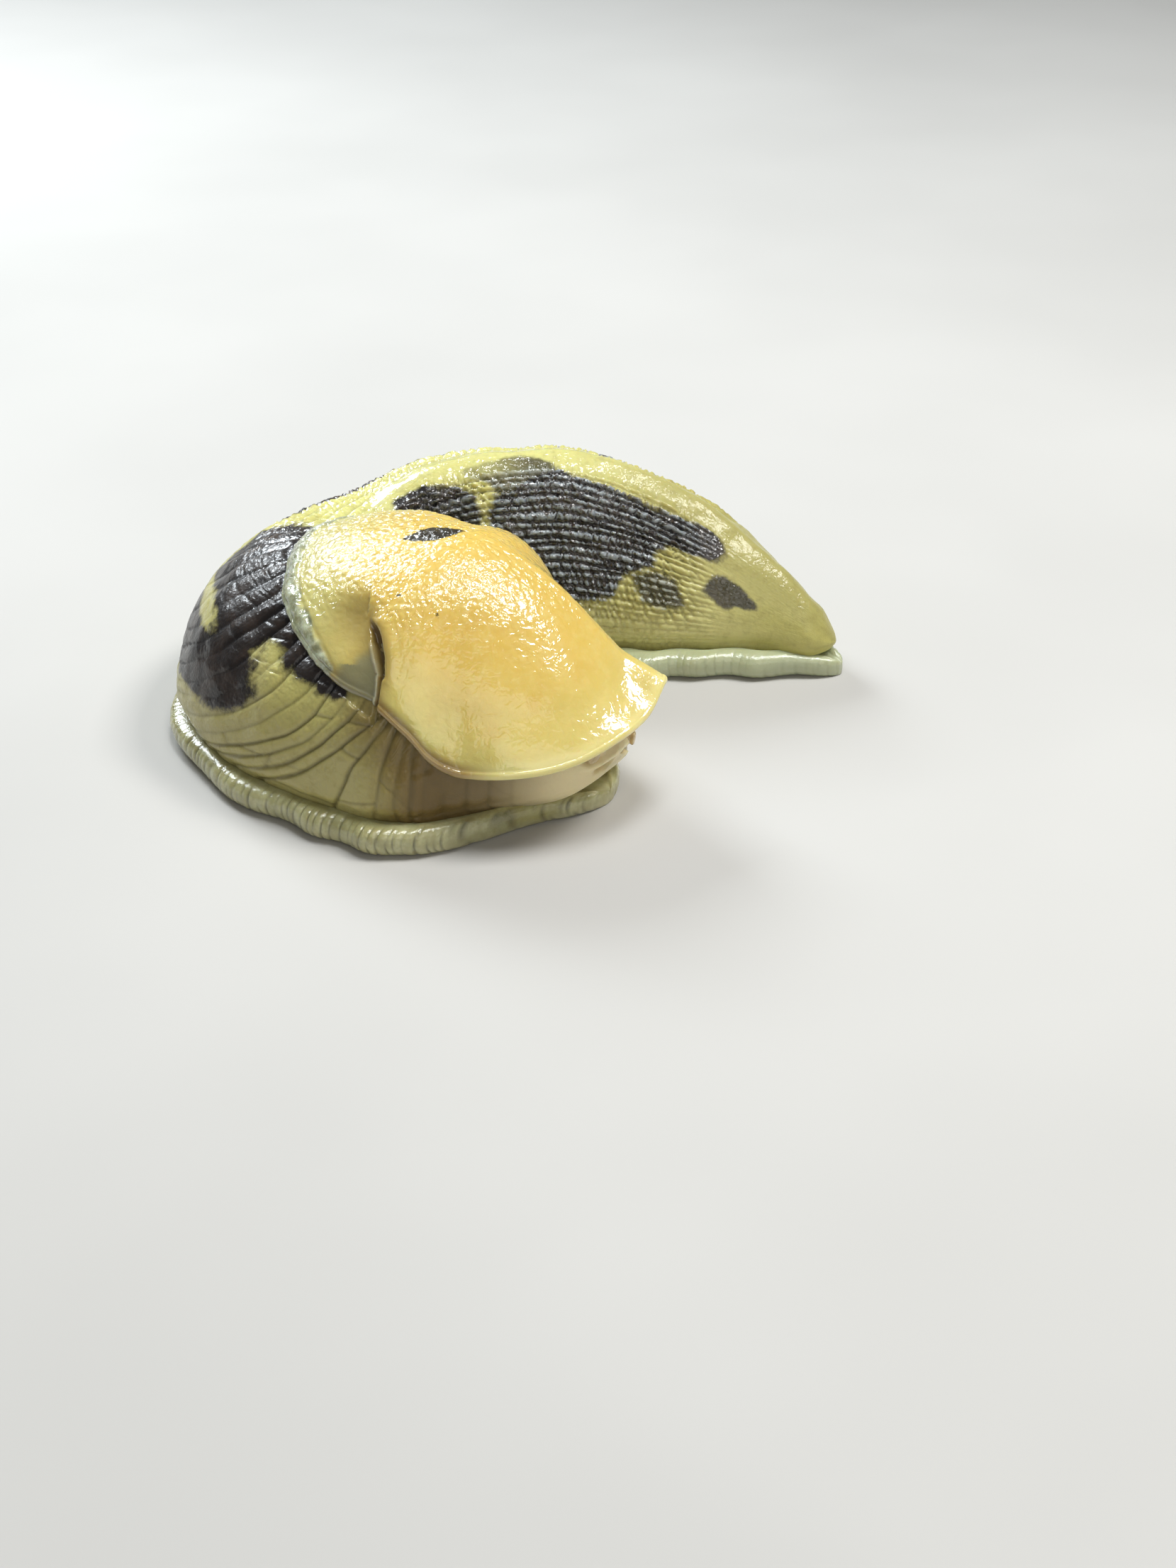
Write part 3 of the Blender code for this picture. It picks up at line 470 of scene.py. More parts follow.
def chart_trunk(s):
    """Maps over the trunk on a plain grid of s and phi: distances, furrows and how deep they are."""
    phi = np.linspace(0, math.pi, CHART_COLUMNS)[None, :]
    across, height = trunk_shape(s[:, None], phi)
    points = place(s, across, height)
    step = np.linalg.norm(np.diff(points, axis=1), axis=-1)
    ahead = np.linalg.norm(np.diff(points, axis=0), axis=-1)
    along = np.concatenate([np.zeros((1, CHART_COLUMNS)), np.cumsum(ahead, 0)])
    up_right = np.concatenate([np.zeros((len(s), 1)), np.cumsum(step, 1)], 1)
    up_left = up_right[:, -1:] - up_right
    top = slice(CHART_COLUMNS // 2, CHART_COLUMNS // 2 + 1)
    keel = up_right[:, top]
    ss, degrees = s[:, None] + 0 * phi, np.degrees(phi) + 0 * s[:, None]
    left = degrees > 90
    on_left = smooth((degrees - 82) / 16)
    up = np.where(left, up_left, up_right)

    name = furrow_name(ss, np.where(left, up * keel / up_left[:, top], up))
    fan_row = np.interp(name, FURROWS_AT, np.arange(len(FURROWS_AT)))
    to_strip = np.where(left, up_left[:, :1] - keel, keel) - table(KEEL_STRIP, ss)
    rows = np.where(left, LEFT_ROWS, RIGHT_ROWS)
    q, _ = MANTLE.over(points[..., 0], points[..., 1])
    under = smooth((1.02 - q) / 0.06) * (height > TRUNK_BASE + 1.5)
    blotch, dark = blotch_maps(ss, degrees)
    return {"phi": phi[0], "step": step, "weight": np.where(left, 0.75, 1.0) * (1 - 0.9 * under),
            "along": along, "up": up, "from_right": up_right, "from_left": up_left,
            "fan_row": fan_row, "fan_mm": 1 / slope_of(fan_row, ahead, step),
            "lengthwise_row": up / to_strip * rows, "row_mm": to_strip / rows,
            "fan_share": 1 - smooth((ss - ROWS_FROM + ROWS_SOONER * on_left) / ROWS_OVER),
            "deep": furrow_depth(ss, up, np.abs(up_right - keel), on_left),
            "blotch": blotch, "dark": dark, "on_left": on_left,
            "keel": keel + 0 * ss, "strip": table(KEEL_STRIP, ss)}


def slope_of(values, ahead, step):
    """How fast a map changes per millimetre."""
    along = np.diff(values, axis=0) / ahead
    across = np.diff(values, axis=1) / step
    along = np.concatenate([along, along[-1:]])
    across = np.concatenate([across, across[:, -1:]], 1)
    return np.maximum(np.hypot(along, across), 0.05)


def free_columns(chart, count):
    """phi of each column in each row, closer together where the skin is seen best."""
    weight = (chart["weight"][:, 1:] + chart["weight"][:, :-1]) / 2 * chart["step"]
    walked = np.concatenate([np.zeros((len(weight), 1)), np.cumsum(weight, 1)], 1)
    share = np.linspace(0, 1, count)
    phi = np.array([np.interp(share * row[-1], row, chart["phi"]) for row in walked])
    ends = COLUMN_EVEN // 2
    summed = np.cumsum(np.pad(phi, ((ends + 1, ends), (0, 0)), "edge"), 0)
    return (summed[COLUMN_EVEN:] - summed[:-COLUMN_EVEN]) / COLUMN_EVEN


def row_columns(chart, s):
    """phi of each column in each row, where the columns keep to the furrows between the rows."""
    keel, strip, whole = chart["keel"][:, :1], chart["strip"][:, :1], chart["from_right"][:, -1:]

    def flank(rows, shares, offset, length):
        line = np.repeat(np.arange(rows), len(shares))
        share = np.tile(shares, rows)
        strays = [row_wander(line + offset + more, s[:, None], rows) for more in (0, 1)]
        row = line + share + (1 - share) * strays[0] + share * strays[1]
        return row / rows * (length - strip)

    right = flank(RIGHT_ROWS, RIGHT_SHARES, 0, keel)
    left = whole - flank(LEFT_ROWS, LEFT_SHARES, LEFT_LINES, whole - keel)[:, ::-1]
    over = keel - strip + 2 * strip * np.arange(KEEL_COLUMNS) / KEEL_COLUMNS
    places = np.concatenate([right, over, left], 1)
    return np.array([np.interp(at, row, chart["phi"]) for at, row in zip(places, chart["from_right"])])


def read_chart(chart, name, phi):
    return np.array([np.interp(row, chart["phi"], values) for row, values in zip(phi, chart[name])])


def furrows(row, row_mm, along, cell_mm, stray, width, seed):
    """Furrows at whole numbers of row, and the creases across the ridges between them.

    Gives how deep in a furrow and in a crease each point is, from 0 to 1, how high it is on its ridge or
    tubercle, and a number of its own for each of those."""
    draw = np.random.default_rng(seed).uniform(0, 1, (LINE_COUNT, LINE_COUNT))
    first = np.floor(row).astype(int)
    groove, shoulder = np.zeros(row.shape), np.zeros(row.shape)
    owner, below, above = first * 0, np.full(row.shape, 9.0), np.full(row.shape, 9.0)
    for line in (first - 1, first, first + 1, first + 2):
        k = line % LINE_COUNT
        gap = row - line - stray(line)
        strength = np.clip(0.78 + 0.4 * np.sin(along / 5.5 + 40 * draw[k, 0]), 0.3, 1)
        groove = np.maximum(groove, strength * bell(gap * row_mm, width))
        shoulder = np.maximum(shoulder, bell(gap * row_mm, 0.30 * row_mm))
        owner = np.where((gap >= 0) & (gap < below), k, owner)
        below = np.where((gap >= 0) & (gap < below), gap, below)
        above = np.where((gap < 0) & (-gap < above), -gap, above)
    across = below / (below + above) - 0.5
    cell = along / cell_mm + 17 * draw[owner, 0] + 0.7 * across * (draw[owner, 1] - 0.5)
    at_cell = np.floor(cell).astype(int)
    crease, dip, own = (np.zeros(row.shape) for _ in range(3))
    for offset in (-1, 0, 1, 2):
        k = (at_cell + offset) % LINE_COUNT
        gap = (cell - (at_cell + offset) - 0.5 * (draw[owner, k] - 0.5)) * cell_mm
        strength = np.clip(1.5 * draw[k, owner] - 0.05, 0, 1)
        crease = np.maximum(crease, strength * bell(gap, width * 0.9))
        dip = np.maximum(dip, strength * bell(gap, 0.26 * np.minimum(cell_mm, 2.0)))
        own = np.where(gap >= 0, draw[(owner * 7 + k) % LINE_COUNT, k], own)
    mound = (1 - 0.95 * shoulder) * (1 - 0.85 * dip)
    return groove, crease, mound, own


def lumps(points, size, seed):
    """Smooth noise, about -1 to 1, over points in millimetres."""
    flat = (points.reshape(-1, 3) / size + seed * 7.31).tolist()
    return np.array([noise.noise(p) for p in flat]).reshape(points.shape[:-1]) * 1.6


# ---------------------------------------------------------------------------- meshes

def grid_object(name, points, attributes, material):
    """A closed skin over rows of points: each row is a ring, and both ends are closed by a fan."""
    rows, columns = points.shape[:2]
    first, last = points[0].mean(0), points[-1].mean(0)
    places = np.concatenate([points.reshape(-1, 3), [first, last]]) * MM
    index = np.arange(rows * columns).reshape(rows, columns)
    right = np.roll(index, -1, 1)
    quads = np.stack([index[:-1], right[:-1], right[1:], index[1:]], -1).reshape(-1, 4)
    ends = [(rows * columns, b, a) for a, b in zip(index[0], right[0])]
    ends += [(rows * columns + 1, a, b) for a, b in zip(index[-1], right[-1])]
    faces = quads.tolist() + ends
    a, b, c = (places[quads[:, i]] for i in (0, 1, 2))
    d = places[quads[:, 3]]
    volume = (a * np.cross(b, c)).sum() + (a * np.cross(c, d)).sum()
    if volume < 0:
        faces = [tuple(reversed(face)) for face in faces]
    mesh = bpy.data.meshes.new(name)
    mesh.from_pydata(places.tolist(), [], faces)
    for key, values in attributes.items():
        wide = values.ndim == 3
        ends = np.stack([values[0].mean(0), values[-1].mean(0)])
        flat = np.concatenate([values.reshape(rows * columns, -1), ends.reshape(2, -1)])
        layer = mesh.attributes.new(key, "FLOAT_VECTOR" if wide else "FLOAT", "POINT")
        layer.data.foreach_set("vector" if wide else "value", flat.ravel().astype(np.float32))
    mesh.polygons.foreach_set("use_smooth", [True] * len(mesh.polygons))
    mesh.materials.append(material)
    mesh.update()
    made = bpy.data.objects.new(name, mesh)
    bpy.context.scene.collection.objects.link(made)
    return made


def head_frame(s, to_left, lift, turn):
    """Frame on the head's surface at s and an offset to the left, with its Z along a feeler's aim."""
    centre, along, right = spine(s)
    side = 1 if to_left > 0 else -1
    forward = Vector((-along[0], -along[1], 0))
    left = Vector((-right[0], -right[1], 0))
    outward = forward * math.cos(math.radians(turn)) + left * side * math.sin(math.radians(turn))
    aim = outward * math.cos(math.radians(lift)) + Vector((0, 0, math.sin(math.radians(lift))))
    across, height = trunk_shape(s, np.linspace(0, math.pi, 181))
    order = np.argsort(-across)
    top = float(np.interp(to_left, -across[order], height[order]))
    base = Vector((centre[0] - right[0] * to_left, centre[1] - right[1] * to_left, top))
    return Matrix.Translation(base) @ aim.to_track_quat("Z", "Y").to_matrix().to_4x4()


def feeler_frames():
    """Name, frame, radius and length of each feeler."""
    made = []
    for kind, (s, offset, lift, turn, radius, length) in FEELERS.items():
        for side, side_name in ((1, "left"), (-1, "right")):
            frame_at = head_frame(s, side * offset, lift, turn)
            made.append((f"{kind}_{side_name}", frame_at, radius, length))
    return made


def face_relief(s, points, across):
    """The line of the mouth, its lips, and the folds round the feelers, on the head's grid."""
    u = across / MOUTH_HALF
    from_mouth = points[..., 2] - (MOUTH_HEIGHT - MOUTH_ARCH * u * u)
    near = smooth((1.2 - np.abs(u)) / 0.35) * smooth((4.6 - s) / 1.5)
    height = near * (0.42 * bell(np.abs(from_mouth) - 0.85, 0.5) - 0.62 * bell(from_mouth, 0.26))
    mouth = near * bell(from_mouth, 0.34)
    for _, frame_at, radius, length in feeler_frames():
        own = points @ np.array(frame_at.inverted().to_3x3()).T + np.array(frame_at.inverted().translation)
        out = np.hypot(own[..., 0], own[..., 1])
        beside = smooth((2.5 * length - np.abs(own[..., 2])) / length)
        fold, socket = bell(out - radius - 0.75, 0.35), bell(out - radius * 0.7, radius * 0.6)
        height += beside * (0.22 * fold - 0.45 * socket)
    return height, mouth


def body_rings():
    """s of each ring of the body's skin, closer together at both rounded ends."""
    snout = SNOUT_ROUND * (1 - np.cos(np.linspace(0.03, math.pi / 2, SNOUT_RINGS)))
    tip = LENGTH - TAIL_ROUND * (1 - np.cos(np.linspace(0.06, math.pi / 2, TAIL_RINGS)))[::-1]
    return np.concatenate([snout, stations(TRUNK_STEP, SNOUT_ROUND, LENGTH - TAIL_ROUND)[1:-1], tip])


def body_chart(s):
    """phi of the body's points, and the chart's maps read at them."""
    chart = chart_trunk(s)
    aligned = row_columns(chart, s)
    share = smooth((s - ROWS_FROM) / ROWS_OVER)[:, None]
    phi = (1 - share) * free_columns(chart, aligned.shape[1]) + share * aligned
    return phi, {name: read_chart(chart, name, phi) for name in CHARTED}


def body_furrows(m, s, phi):
    """The furrows down the flank in front and the rows of tubercles behind.

    Gives their relief, how sunk a point is in a furrow, how high on its mound, and the mound's number."""
    in_patch = smooth((m["up"] - 11) / 3) * (1 - m["on_left"])
    scaly = in_patch * smooth((m["up"] - 16) / 6)
    fan = furrows(m["fan_row"], m["fan_mm"], m["up"] - 1.3, 6.5 - 2.5 * in_patch - 2.2 * scaly,
                  lambda line: wander(line, m["up"], 0.08, 2.9, 1.3), FAN_GROOVE, seed=5)
    on_left = phi > math.pi / 2
    offset, rows = np.where(on_left, LEFT_LINES, 0), np.where(on_left, LEFT_ROWS, RIGHT_ROWS)
    lengthwise = furrows(m["lengthwise_row"] + offset, m["row_mm"], m["along"],
                         1.3 - 0.2 * smooth((s - 60) / 30),
                         lambda line: row_wander(line, s, rows), ROW_GROOVE, seed=6)
    share = m["fan_share"]
    behind = 1 - share
    groove, crease, mound, own = (share * a + behind * b for a, b in zip(fan, lengthwise))
    ridge = (share * (RIDGE_FRONT + RIDGE_PATCH * in_patch) + behind * RIDGE_REAR) * mound
    relief = ridge - RIDGE_REAR / 2 * behind - (GROOVE_FRONT - GROOVE_LESS * behind) * groove
    relief = relief - (CREASE_FRONT + CREASE_SCALY * share * scaly) * crease
    relief -= CREASE_REAR * behind * crease
    relief += OWN_HEIGHT * (own - 0.5) * behind
    worn_left = 0.7 * behind * m["on_left"] * smooth((s - 56) / 8) * smooth((5.5 - m["up"]) / 3)
    deep = m["deep"] * (1 - np.maximum(0.8 * smooth((s - 88) / 9), worn_left))
    sunk = np.clip(groove + 0.55 * crease, 0, 1) * np.clip(deep * 1.15, 0, 1)
    return relief * deep, sunk, mound * deep, own


def under_mantle(points):
    """Height of the points, kept down where the mantle is over them, and how much painted shade its margin
    casts on them.
    """
    q, theta = MANTLE.over(points[..., 0], points[..., 1])
    inside = np.minimum(q, 1)
    above = mantle_points(inside, theta)
    ceiling = above[..., 2] - MANTLE.thickness(inside, theta) - GAP - CEILING_ROOM
    ceiling += np.minimum(0, pore_relief(above)[0])
    height = points[..., 2]
    covered = (q < 1.06) & (height > TRUNK_BASE + 0.5)
    # painted shade from the overhanging margin
    shaded = table(PAINTED_OVERHANG_SHADE, np.degrees(theta)) * smooth((1.17 - q) / 0.13)
    return np.where(covered, np.minimum(height, ceiling), height), shaded


def tucked_edge(s, side, inward, level):
    """A column of points where the skin is turned in below the trunk."""
    half = table(HALF_RIGHT if side > 0 else HALF_LEFT, s)
    across = side * (half - inward * np.minimum(half / 12, 1))
    across, height = rounded(s, across, np.full_like(s, level))
    return place(s, across[:, None], height[:, None])


def with_tuck(values):
    """Values of the skin's columns, with those of its edges for the columns turned in."""
    return np.concatenate([values[:, :1]] * len(TUCK) + [values] + [values[:, -1:]] * len(TUCK), 1)


def body_skin(material):
    """One skin over head, neck, trunk and tail."""
    s = body_rings()
    phi, m = body_chart(s)
    ss = s[:, None] + 0 * phi
    across, height = trunk_shape(ss, phi)
    points = place(s, across, height)
    outward = normals_of(points)
    outward *= np.sign((outward * (points - points.mean(1, keepdims=True))).sum(-1).mean(1))[:, None, None]

    relief, sunk, mound, own = body_furrows(m, ss, phi)
    small = SMALL_LUMPS * lumps(points, 2.6, 2) * smooth((ss - 3) / 4)
    relief += BROAD_LUMPS * lumps(points, 7.0, 1) + small - SKIN_LOWER
    face, mouth = face_relief(ss, points, across)
    tuck_in = 0.55 * bell(m["up"], 0.9) * smooth((ss - 4) / 5) * smooth((106 - ss) / 5)
    points = points + outward * (relief + face - tuck_in)[..., None]
    points[..., 2], painted_overhang_shade = under_mantle(points)
    right = [tucked_edge(s, 1, *edge) for edge in reversed(TUCK)]
    left = [tucked_edge(s, -1, *edge) for edge in TUCK]

    flow = np.where(m["fan_share"][..., None] > 0.5,
                    np.stack([m["up"], m["fan_row"] * 2.2, own * 9], -1),
                    np.stack([m["along"], m["lengthwise_row"] * 1.4 + 90, own * 9], -1))
    attributes = {
        # furrow: how sunk a point is in a furrow, the mouth or the tucked edge, where the skin gets painted
        # shade
        "furrow": np.clip(sunk + mouth + 0.5 * tuck_in, 0, 1), "blotch": m["blotch"], "dark": m["dark"],
        "rise": m["up"] / (m["from_right"] + m["from_left"]) * 2, "painted_overhang_shade": painted_overhang_shade,
        "tissue": 1 - smooth((ss - 11) / 8), "mound": mound, "station": ss / LENGTH,
        "flow": flow, "grain": 0.12 + 0.55 * mound}
    attributes = {key: with_tuck(values) for key, values in attributes.items()}
    return grid_object("body_skin", np.concatenate([*right, points, *left], 1), attributes, material)


def foot_side(s, side, half, stand, phase):
    """Columns from the middle of the sole out to one side, over its rim and back on top.

    Gives their offsets, levels, how much of the rim's pleated band they have, and how far along it."""
    size = round_end(s - FOOT_FRONT, FOOT_ROUND) * round_end(FOOT_REAR - s, FOOT_ROUND)
    high = (FOOT_END_HEIGHT + (1 - FOOT_END_HEIGHT) * size)[:, None]
    k = np.linspace(0, len(RIM_SECTION) - 1, RIM_POINTS)[None, :]
    out, up = (table([*enumerate(column)], k) for column in zip(*RIM_SECTION))
    wave = RIM_WAVE * np.sin(2 * math.pi * s / RIM_WAVE_LENGTH + phase)
    lift = RIM_LIFT * (0.5 + 0.5 * np.sin(2 * math.pi * s / RIM_LIFT_LENGTH + phase))
    edge = ((table(half, s) + table(stand, s) + wave - PLEAT_ROOM) * size)[:, None]
    narrow = np.minimum(1.0, edge / RIM_FULL_AT)
    rim = side * (edge + out * narrow)
    height = (up + lift[:, None] * np.sin(math.pi * up / FOOT_HEIGHT)) * high
    plain_rear = (1 - 0.6 * smooth((s - 62) / 10))[:, None]
    band = smooth((k - 0.5) / 1.3) * smooth((5.9 - k) / 1.2) * plain_rear + 0 * rim
    inner = side * np.maximum(edge - 2.4 * narrow, 0)
    sole = [inner * share for share in (0.0, 0.55, 0.9)]
    top = [side * np.maximum(edge - 2.2 * narrow, 0) * share for share in (0.8, 0.4)]
    zero = np.zeros_like(edge)
    columns = np.concatenate([*sole, rim, *top], 1)
    levels = np.concatenate([zero] * 3 + [height] + [(FOOT_HEIGHT - 0.7) * high + zero] * 2, 1)
    bands = np.concatenate([zero] * 3 + [band] + [zero] * 2, 1)
    rims = place(s, side * edge, zero)[:, 0]
    walked = np.concatenate([[0], np.cumsum(np.linalg.norm(np.diff(rims, axis=0), axis=-1))])
    return columns, levels, bands, walked[:, None] + (LEFT_PLEATS if side < 0 else 0) + 0 * columns


def foot_skin(material):
    """The flat sole with its rounded, pleated rim."""
    closing = FOOT_ROUND * (1 - np.cos(np.linspace(0.05, math.pi / 2, 40)))
    s = np.concatenate([FOOT_FRONT + closing,
                        stations(FOOT_STEP, FOOT_FRONT + FOOT_ROUND, FOOT_REAR - FOOT_ROUND)[1:-1],
                        (FOOT_REAR - closing)[::-1]])
    right = foot_side(s, 1, HALF_RIGHT, FOOT_OUT_RIGHT, 0.0)
    left = foot_side(s, -1, HALF_LEFT, FOOT_OUT_LEFT, 1.9)
    columns, levels, bands, walked = (np.concatenate([a, b[:, ::-1]], 1) for a, b in zip(right, left))
    attributes = {"band": bands, "walked": walked, "level": levels / FOOT_HEIGHT,
                  "station": s[:, None] / LENGTH + 0 * columns}
    return grid_object("foot_skin", place(s, columns, levels), attributes, material)


def unit(vector):
    return vector / np.linalg.norm(vector)


def mantle_points(q, theta):
    x, y = MANTLE.plan(q, theta)
    return np.stack([x, y, MANTLE.upper(q, theta) + 0 * x], -1)


def from_pore(points):
    """How far in front of the breathing pore's edge points are, negative behind it, and how far down it."""
    q, theta = np.array(PORE_EDGE).T
    steps = np.linspace(0, len(q) - 1, 90)
    line = mantle_points(table([*enumerate(q)], steps), np.radians(table([*enumerate(theta)], steps)))
    middle = line[len(line) // 2]
    down = unit(line[-8] - line[len(line) // 3])
    behind, ahead = (mantle_points(0.8, math.radians(theta)) for theta in (-92, -85))
    normal = unit(np.cross(down, ahead - behind))
    forward = np.cross(normal, down)
    forward *= np.sign(forward[0])
    flat, edge = ([(p - middle) @ axis for axis in (forward, down)] for p in (points, line))
    run_at = np.concatenate([[0], np.cumsum(np.hypot(np.diff(edge[0]), np.diff(edge[1])))])
    nearest, run = np.full(flat[0].shape, 1e9), np.zeros(flat[0].shape)
    for i in range(len(line) - 1):
        side = np.array([edge[0][i + 1] - edge[0][i], edge[1][i + 1] - edge[1][i]])
        from_x, from_y = flat[0] - edge[0][i], flat[1] - edge[1][i]
        share = np.clip((from_x * side[0] + from_y * side[1]) / (side @ side), 0, 1)
        away = np.hypot(from_x - share * side[0], from_y - share * side[1])
        run = np.where(away < nearest, run_at[i] + share * (run_at[i + 1] - run_at[i]), run)
        nearest = np.minimum(nearest, away)
    in_front = flat[0] > np.interp(flat[1], edge[1], edge[0])
    return np.where(in_front, nearest, -nearest), run, flat[1] - edge[1][0]


def pore_relief(points):
    """The breathing pore: a hollow under a crisp front edge, with a pale fold in it, and behind it a flap
    in a valley. Gives height, how much of the flap, hollow and fold a point has, and the edge's lean."""
    d, run, below = from_pore(points)
    width, depth = table(HOLLOW_WIDTH, run), table(HOLLOW_DEPTH, run)
    open_ = smooth(run / 1.6) * (width > 0.02)
    behind = smooth((0.10 - d) / 0.24)
    hollow = open_ * behind * smooth((d + width + 0.14) / 0.34)
    crisp = smooth(run / 2.2)
    valley = np.where(d < 0, bell(d + 0.9, VALLEY_WIDTH) / bell(0.9, VALLEY_WIDTH),
                      (1 - crisp) * bell(d, 1.7) + crisp * bell(d, 0.14))
    valley *= smooth((below + 4.0) / 4.5)
    fold = bell(d + table(FOLD_BEHIND, run), 0.13) * smooth((run - 3.2) / 0.8) * smooth((6.9 - run) / 0.8)
    flap = smooth((run - 3.4) / 2.2) * smooth((-d - width - 0.02) / 0.12)
    flap *= smooth((d + table(((3, 1.2), (6, 3.8), (9, 6.0), (12, 7.0)), run) + width) / 1.8)
    flap_edge = open_ * bell(d + width + 0.24, 0.2) * smooth((run - 2.6) / 1.4)
    height = -VALLEY_DEPTH * valley - depth * hollow + 0.5 * fold + 0.2 * flap_edge
    height += 0.14 * crisp * bell(d - 0.7, 0.6) * smooth((9 - run) / 2)
    lean = 0.22 * open_ * bell(d - 0.16, 0.22) * smooth((8 - run) / 1.5)
    return height, flap, hollow * (1 - fold), np.maximum(fold, 0.8 * flap_edge), lean


def rear_strip(points, inwards, width):
    """The rolled strip round the mantle's rear: its relief, and how much of it a point has."""
    in_strip = inwards / np.maximum(width, 0.05)
    stands = smooth(width / 0.6)
    bulge = np.sqrt(np.clip(1 - (2 * np.clip(in_strip, 0, 1) - 1) ** 2, 0, 1))
    strip = stands * smooth((1.25 - in_strip + 0.3 * lumps(points, 1.6, 12)) / 0.5)
    rolled = stands * (STRIP_HEIGHT * bulge - STRIP_GROOVE * bell(inwards - width - 0.1, 0.3))
    return rolled + STRIP_HEIGHT * strip * lumps(points, 1.0, 8), strip


def pore_shade(points):
    """How much of the shade round the breathing pore a point has."""
    ahead, _, below = from_pore(points)
    return np.where(ahead < 0, bell(ahead + 1.0, 3.4), bell(ahead, 0.9)) * smooth((below + 4.5) / 4)


def mantle_lip(points, margin, theta):
    """Rows of points round the lip, from the margin's upper edge to its lower."""
    out = points[-1] - points[-6]
    out[:, 2] = 0
    out /= np.linalg.norm(out, axis=-1, keepdims=True)
    lip_out = (LIP_OUT + CORNER_LIP * bell(np.degrees(theta[0]) - CORNER_AT, 5.0))[:, None]
    lip = []
    for turn in np.linspace(0, math.pi, LIP_ROWS + 2)[1:-1]:
        lower = margin - np.array([0, 0, 1.0]) * MARGIN_THICK * (1 - math.cos(turn)) / 2
        lip.append(lower + out * lip_out * math.sin(turn))
    return lip


def spot_distance(points):
    """Distance inside the mantle's dark spot or a freckle, negative outside them."""
    ends, half_width = np.array(MANTLE_SPOT[:2]) + SHIFT, MANTLE_SPOT[2]
    axis = ends[1] - ends[0]
    plan = points[..., :2]
    share = np.clip(((plan - ends[0]) @ axis) / (axis @ axis), 0, 1)
    beside = np.linalg.norm(plan - ends[0] - share[..., None] * axis, axis=-1)
    spot = half_width * (1 - np.abs(2 * share - 1) ** 1.5) - beside
    for centre in FRECKLES:
        spot = np.maximum(spot, FRECKLE_RADIUS - np.linalg.norm(plan - centre - SHIFT, axis=-1))
    return spot


def mantle_skin(material):
    """The mantle: domed above, with a rolled rim behind, a crisp lip in front and the breathing pore."""
    theta = np.radians(stations(MANTLE_STEP, -180, 180)[:-1])[None, :]
    q = np.linspace(0.004, 1, MANTLE_ROWS)[:, None] ** 0.9
    points = mantle_points(q, theta)
    outward = normals_of(np.concatenate([points[:, -1:], points, points[:, :1]], 1))[:, 1:-1]
    outward *= np.sign(outward[..., 2:].mean())
    slope = np.linalg.norm(np.diff(points, axis=0), axis=-1)
    inwards = np.concatenate([np.cumsum(slope[::-1], 0)[::-1], np.zeros((1, slope.shape[1]))])
    height, flap, pit_shade, fold, lean = pore_relief(points)
    rolled, strip = rear_strip(points, inwards, table(RIM_WIDTH, np.degrees(theta)) + 0 * q)
    frill = FRILL_HEIGHT * lumps(points, 3.2, 4) * smooth((3.5 - inwards) / 3)
    relief = height + rolled + frill + (SWELL_HEIGHT * lumps(points, 8.0, 3) - SWELL_HEIGHT)
    tangent = np.gradient(points, axis=1)
    tangent /= np.maximum(np.linalg.norm(tangent, axis=-1, keepdims=True), 1e-9)
    top = points + outward * relief[..., None] - tangent * lean[..., None]
    bottom = points + outward * np.minimum(relief, 0)[..., None]
    bottom[..., 2] = np.minimum(bottom[..., 2] - MANTLE.thickness(q, theta), top[..., 2] - 0.5)
    pick = np.linspace(MANTLE_ROWS - 1, 0, UNDER_ROWS).round().astype(int)
    whole = np.concatenate([top, mantle_lip(points, top[-1], theta), bottom[pick]])

    shade = pore_shade(points)
    backward = smooth((0.25 - np.cos(theta) * q) / 0.6)
    wrinkled = 0.2 + 0.8 * smooth((points[..., 2] - 19) / 6) * (0.35 + 0.65 * backward)
    wrinkled *= 1 - 0.75 * np.maximum(np.maximum(flap, pit_shade), 0.8 * shade)
    attributes = {"inwards": inwards, "rear": smooth((-np.cos(theta) - 0.1) / 0.5) + 0 * q, "flap": flap,
                  "pit_shade": pit_shade, "fold": fold, "strip": strip, "spot": spot_distance(points), "shade": shade,
                  "grain": wrinkled * np.minimum(1, inwards),
                  "pale_lip": table(LIP_PALE, np.degrees(theta)) + 0 * q}
    attributes = {key: np.concatenate([values, np.repeat(values[-1:], LIP_ROWS, 0), values[pick]])
                  for key, values in attributes.items()}
    under = np.zeros(whole.shape[:2])
    under[-UNDER_ROWS:] = 1
    attributes.update(underside=under, grain=attributes["grain"] * (1 - under))
    return grid_object("mantle_skin", whole, attributes, material)


def turned_object(name, frame_at, profile, material, sides=40):
    """A closed skin turned about a frame's Z, from pairs of radius and height."""
    turn = np.linspace(0, 2 * math.pi, sides, endpoint=False)
    rings = np.array([[(r * math.cos(w), r * math.sin(w), z) for w in turn] for r, z in profile])
    matrix = np.array(frame_at)
    points = rings @ matrix[:3, :3].T + matrix[:3, 3]
    level = np.array([[z] * sides for _, z in profile])
    return grid_object(name, points, {"level": level}, material)


# ---------------------------------------------------------------------------- node trees

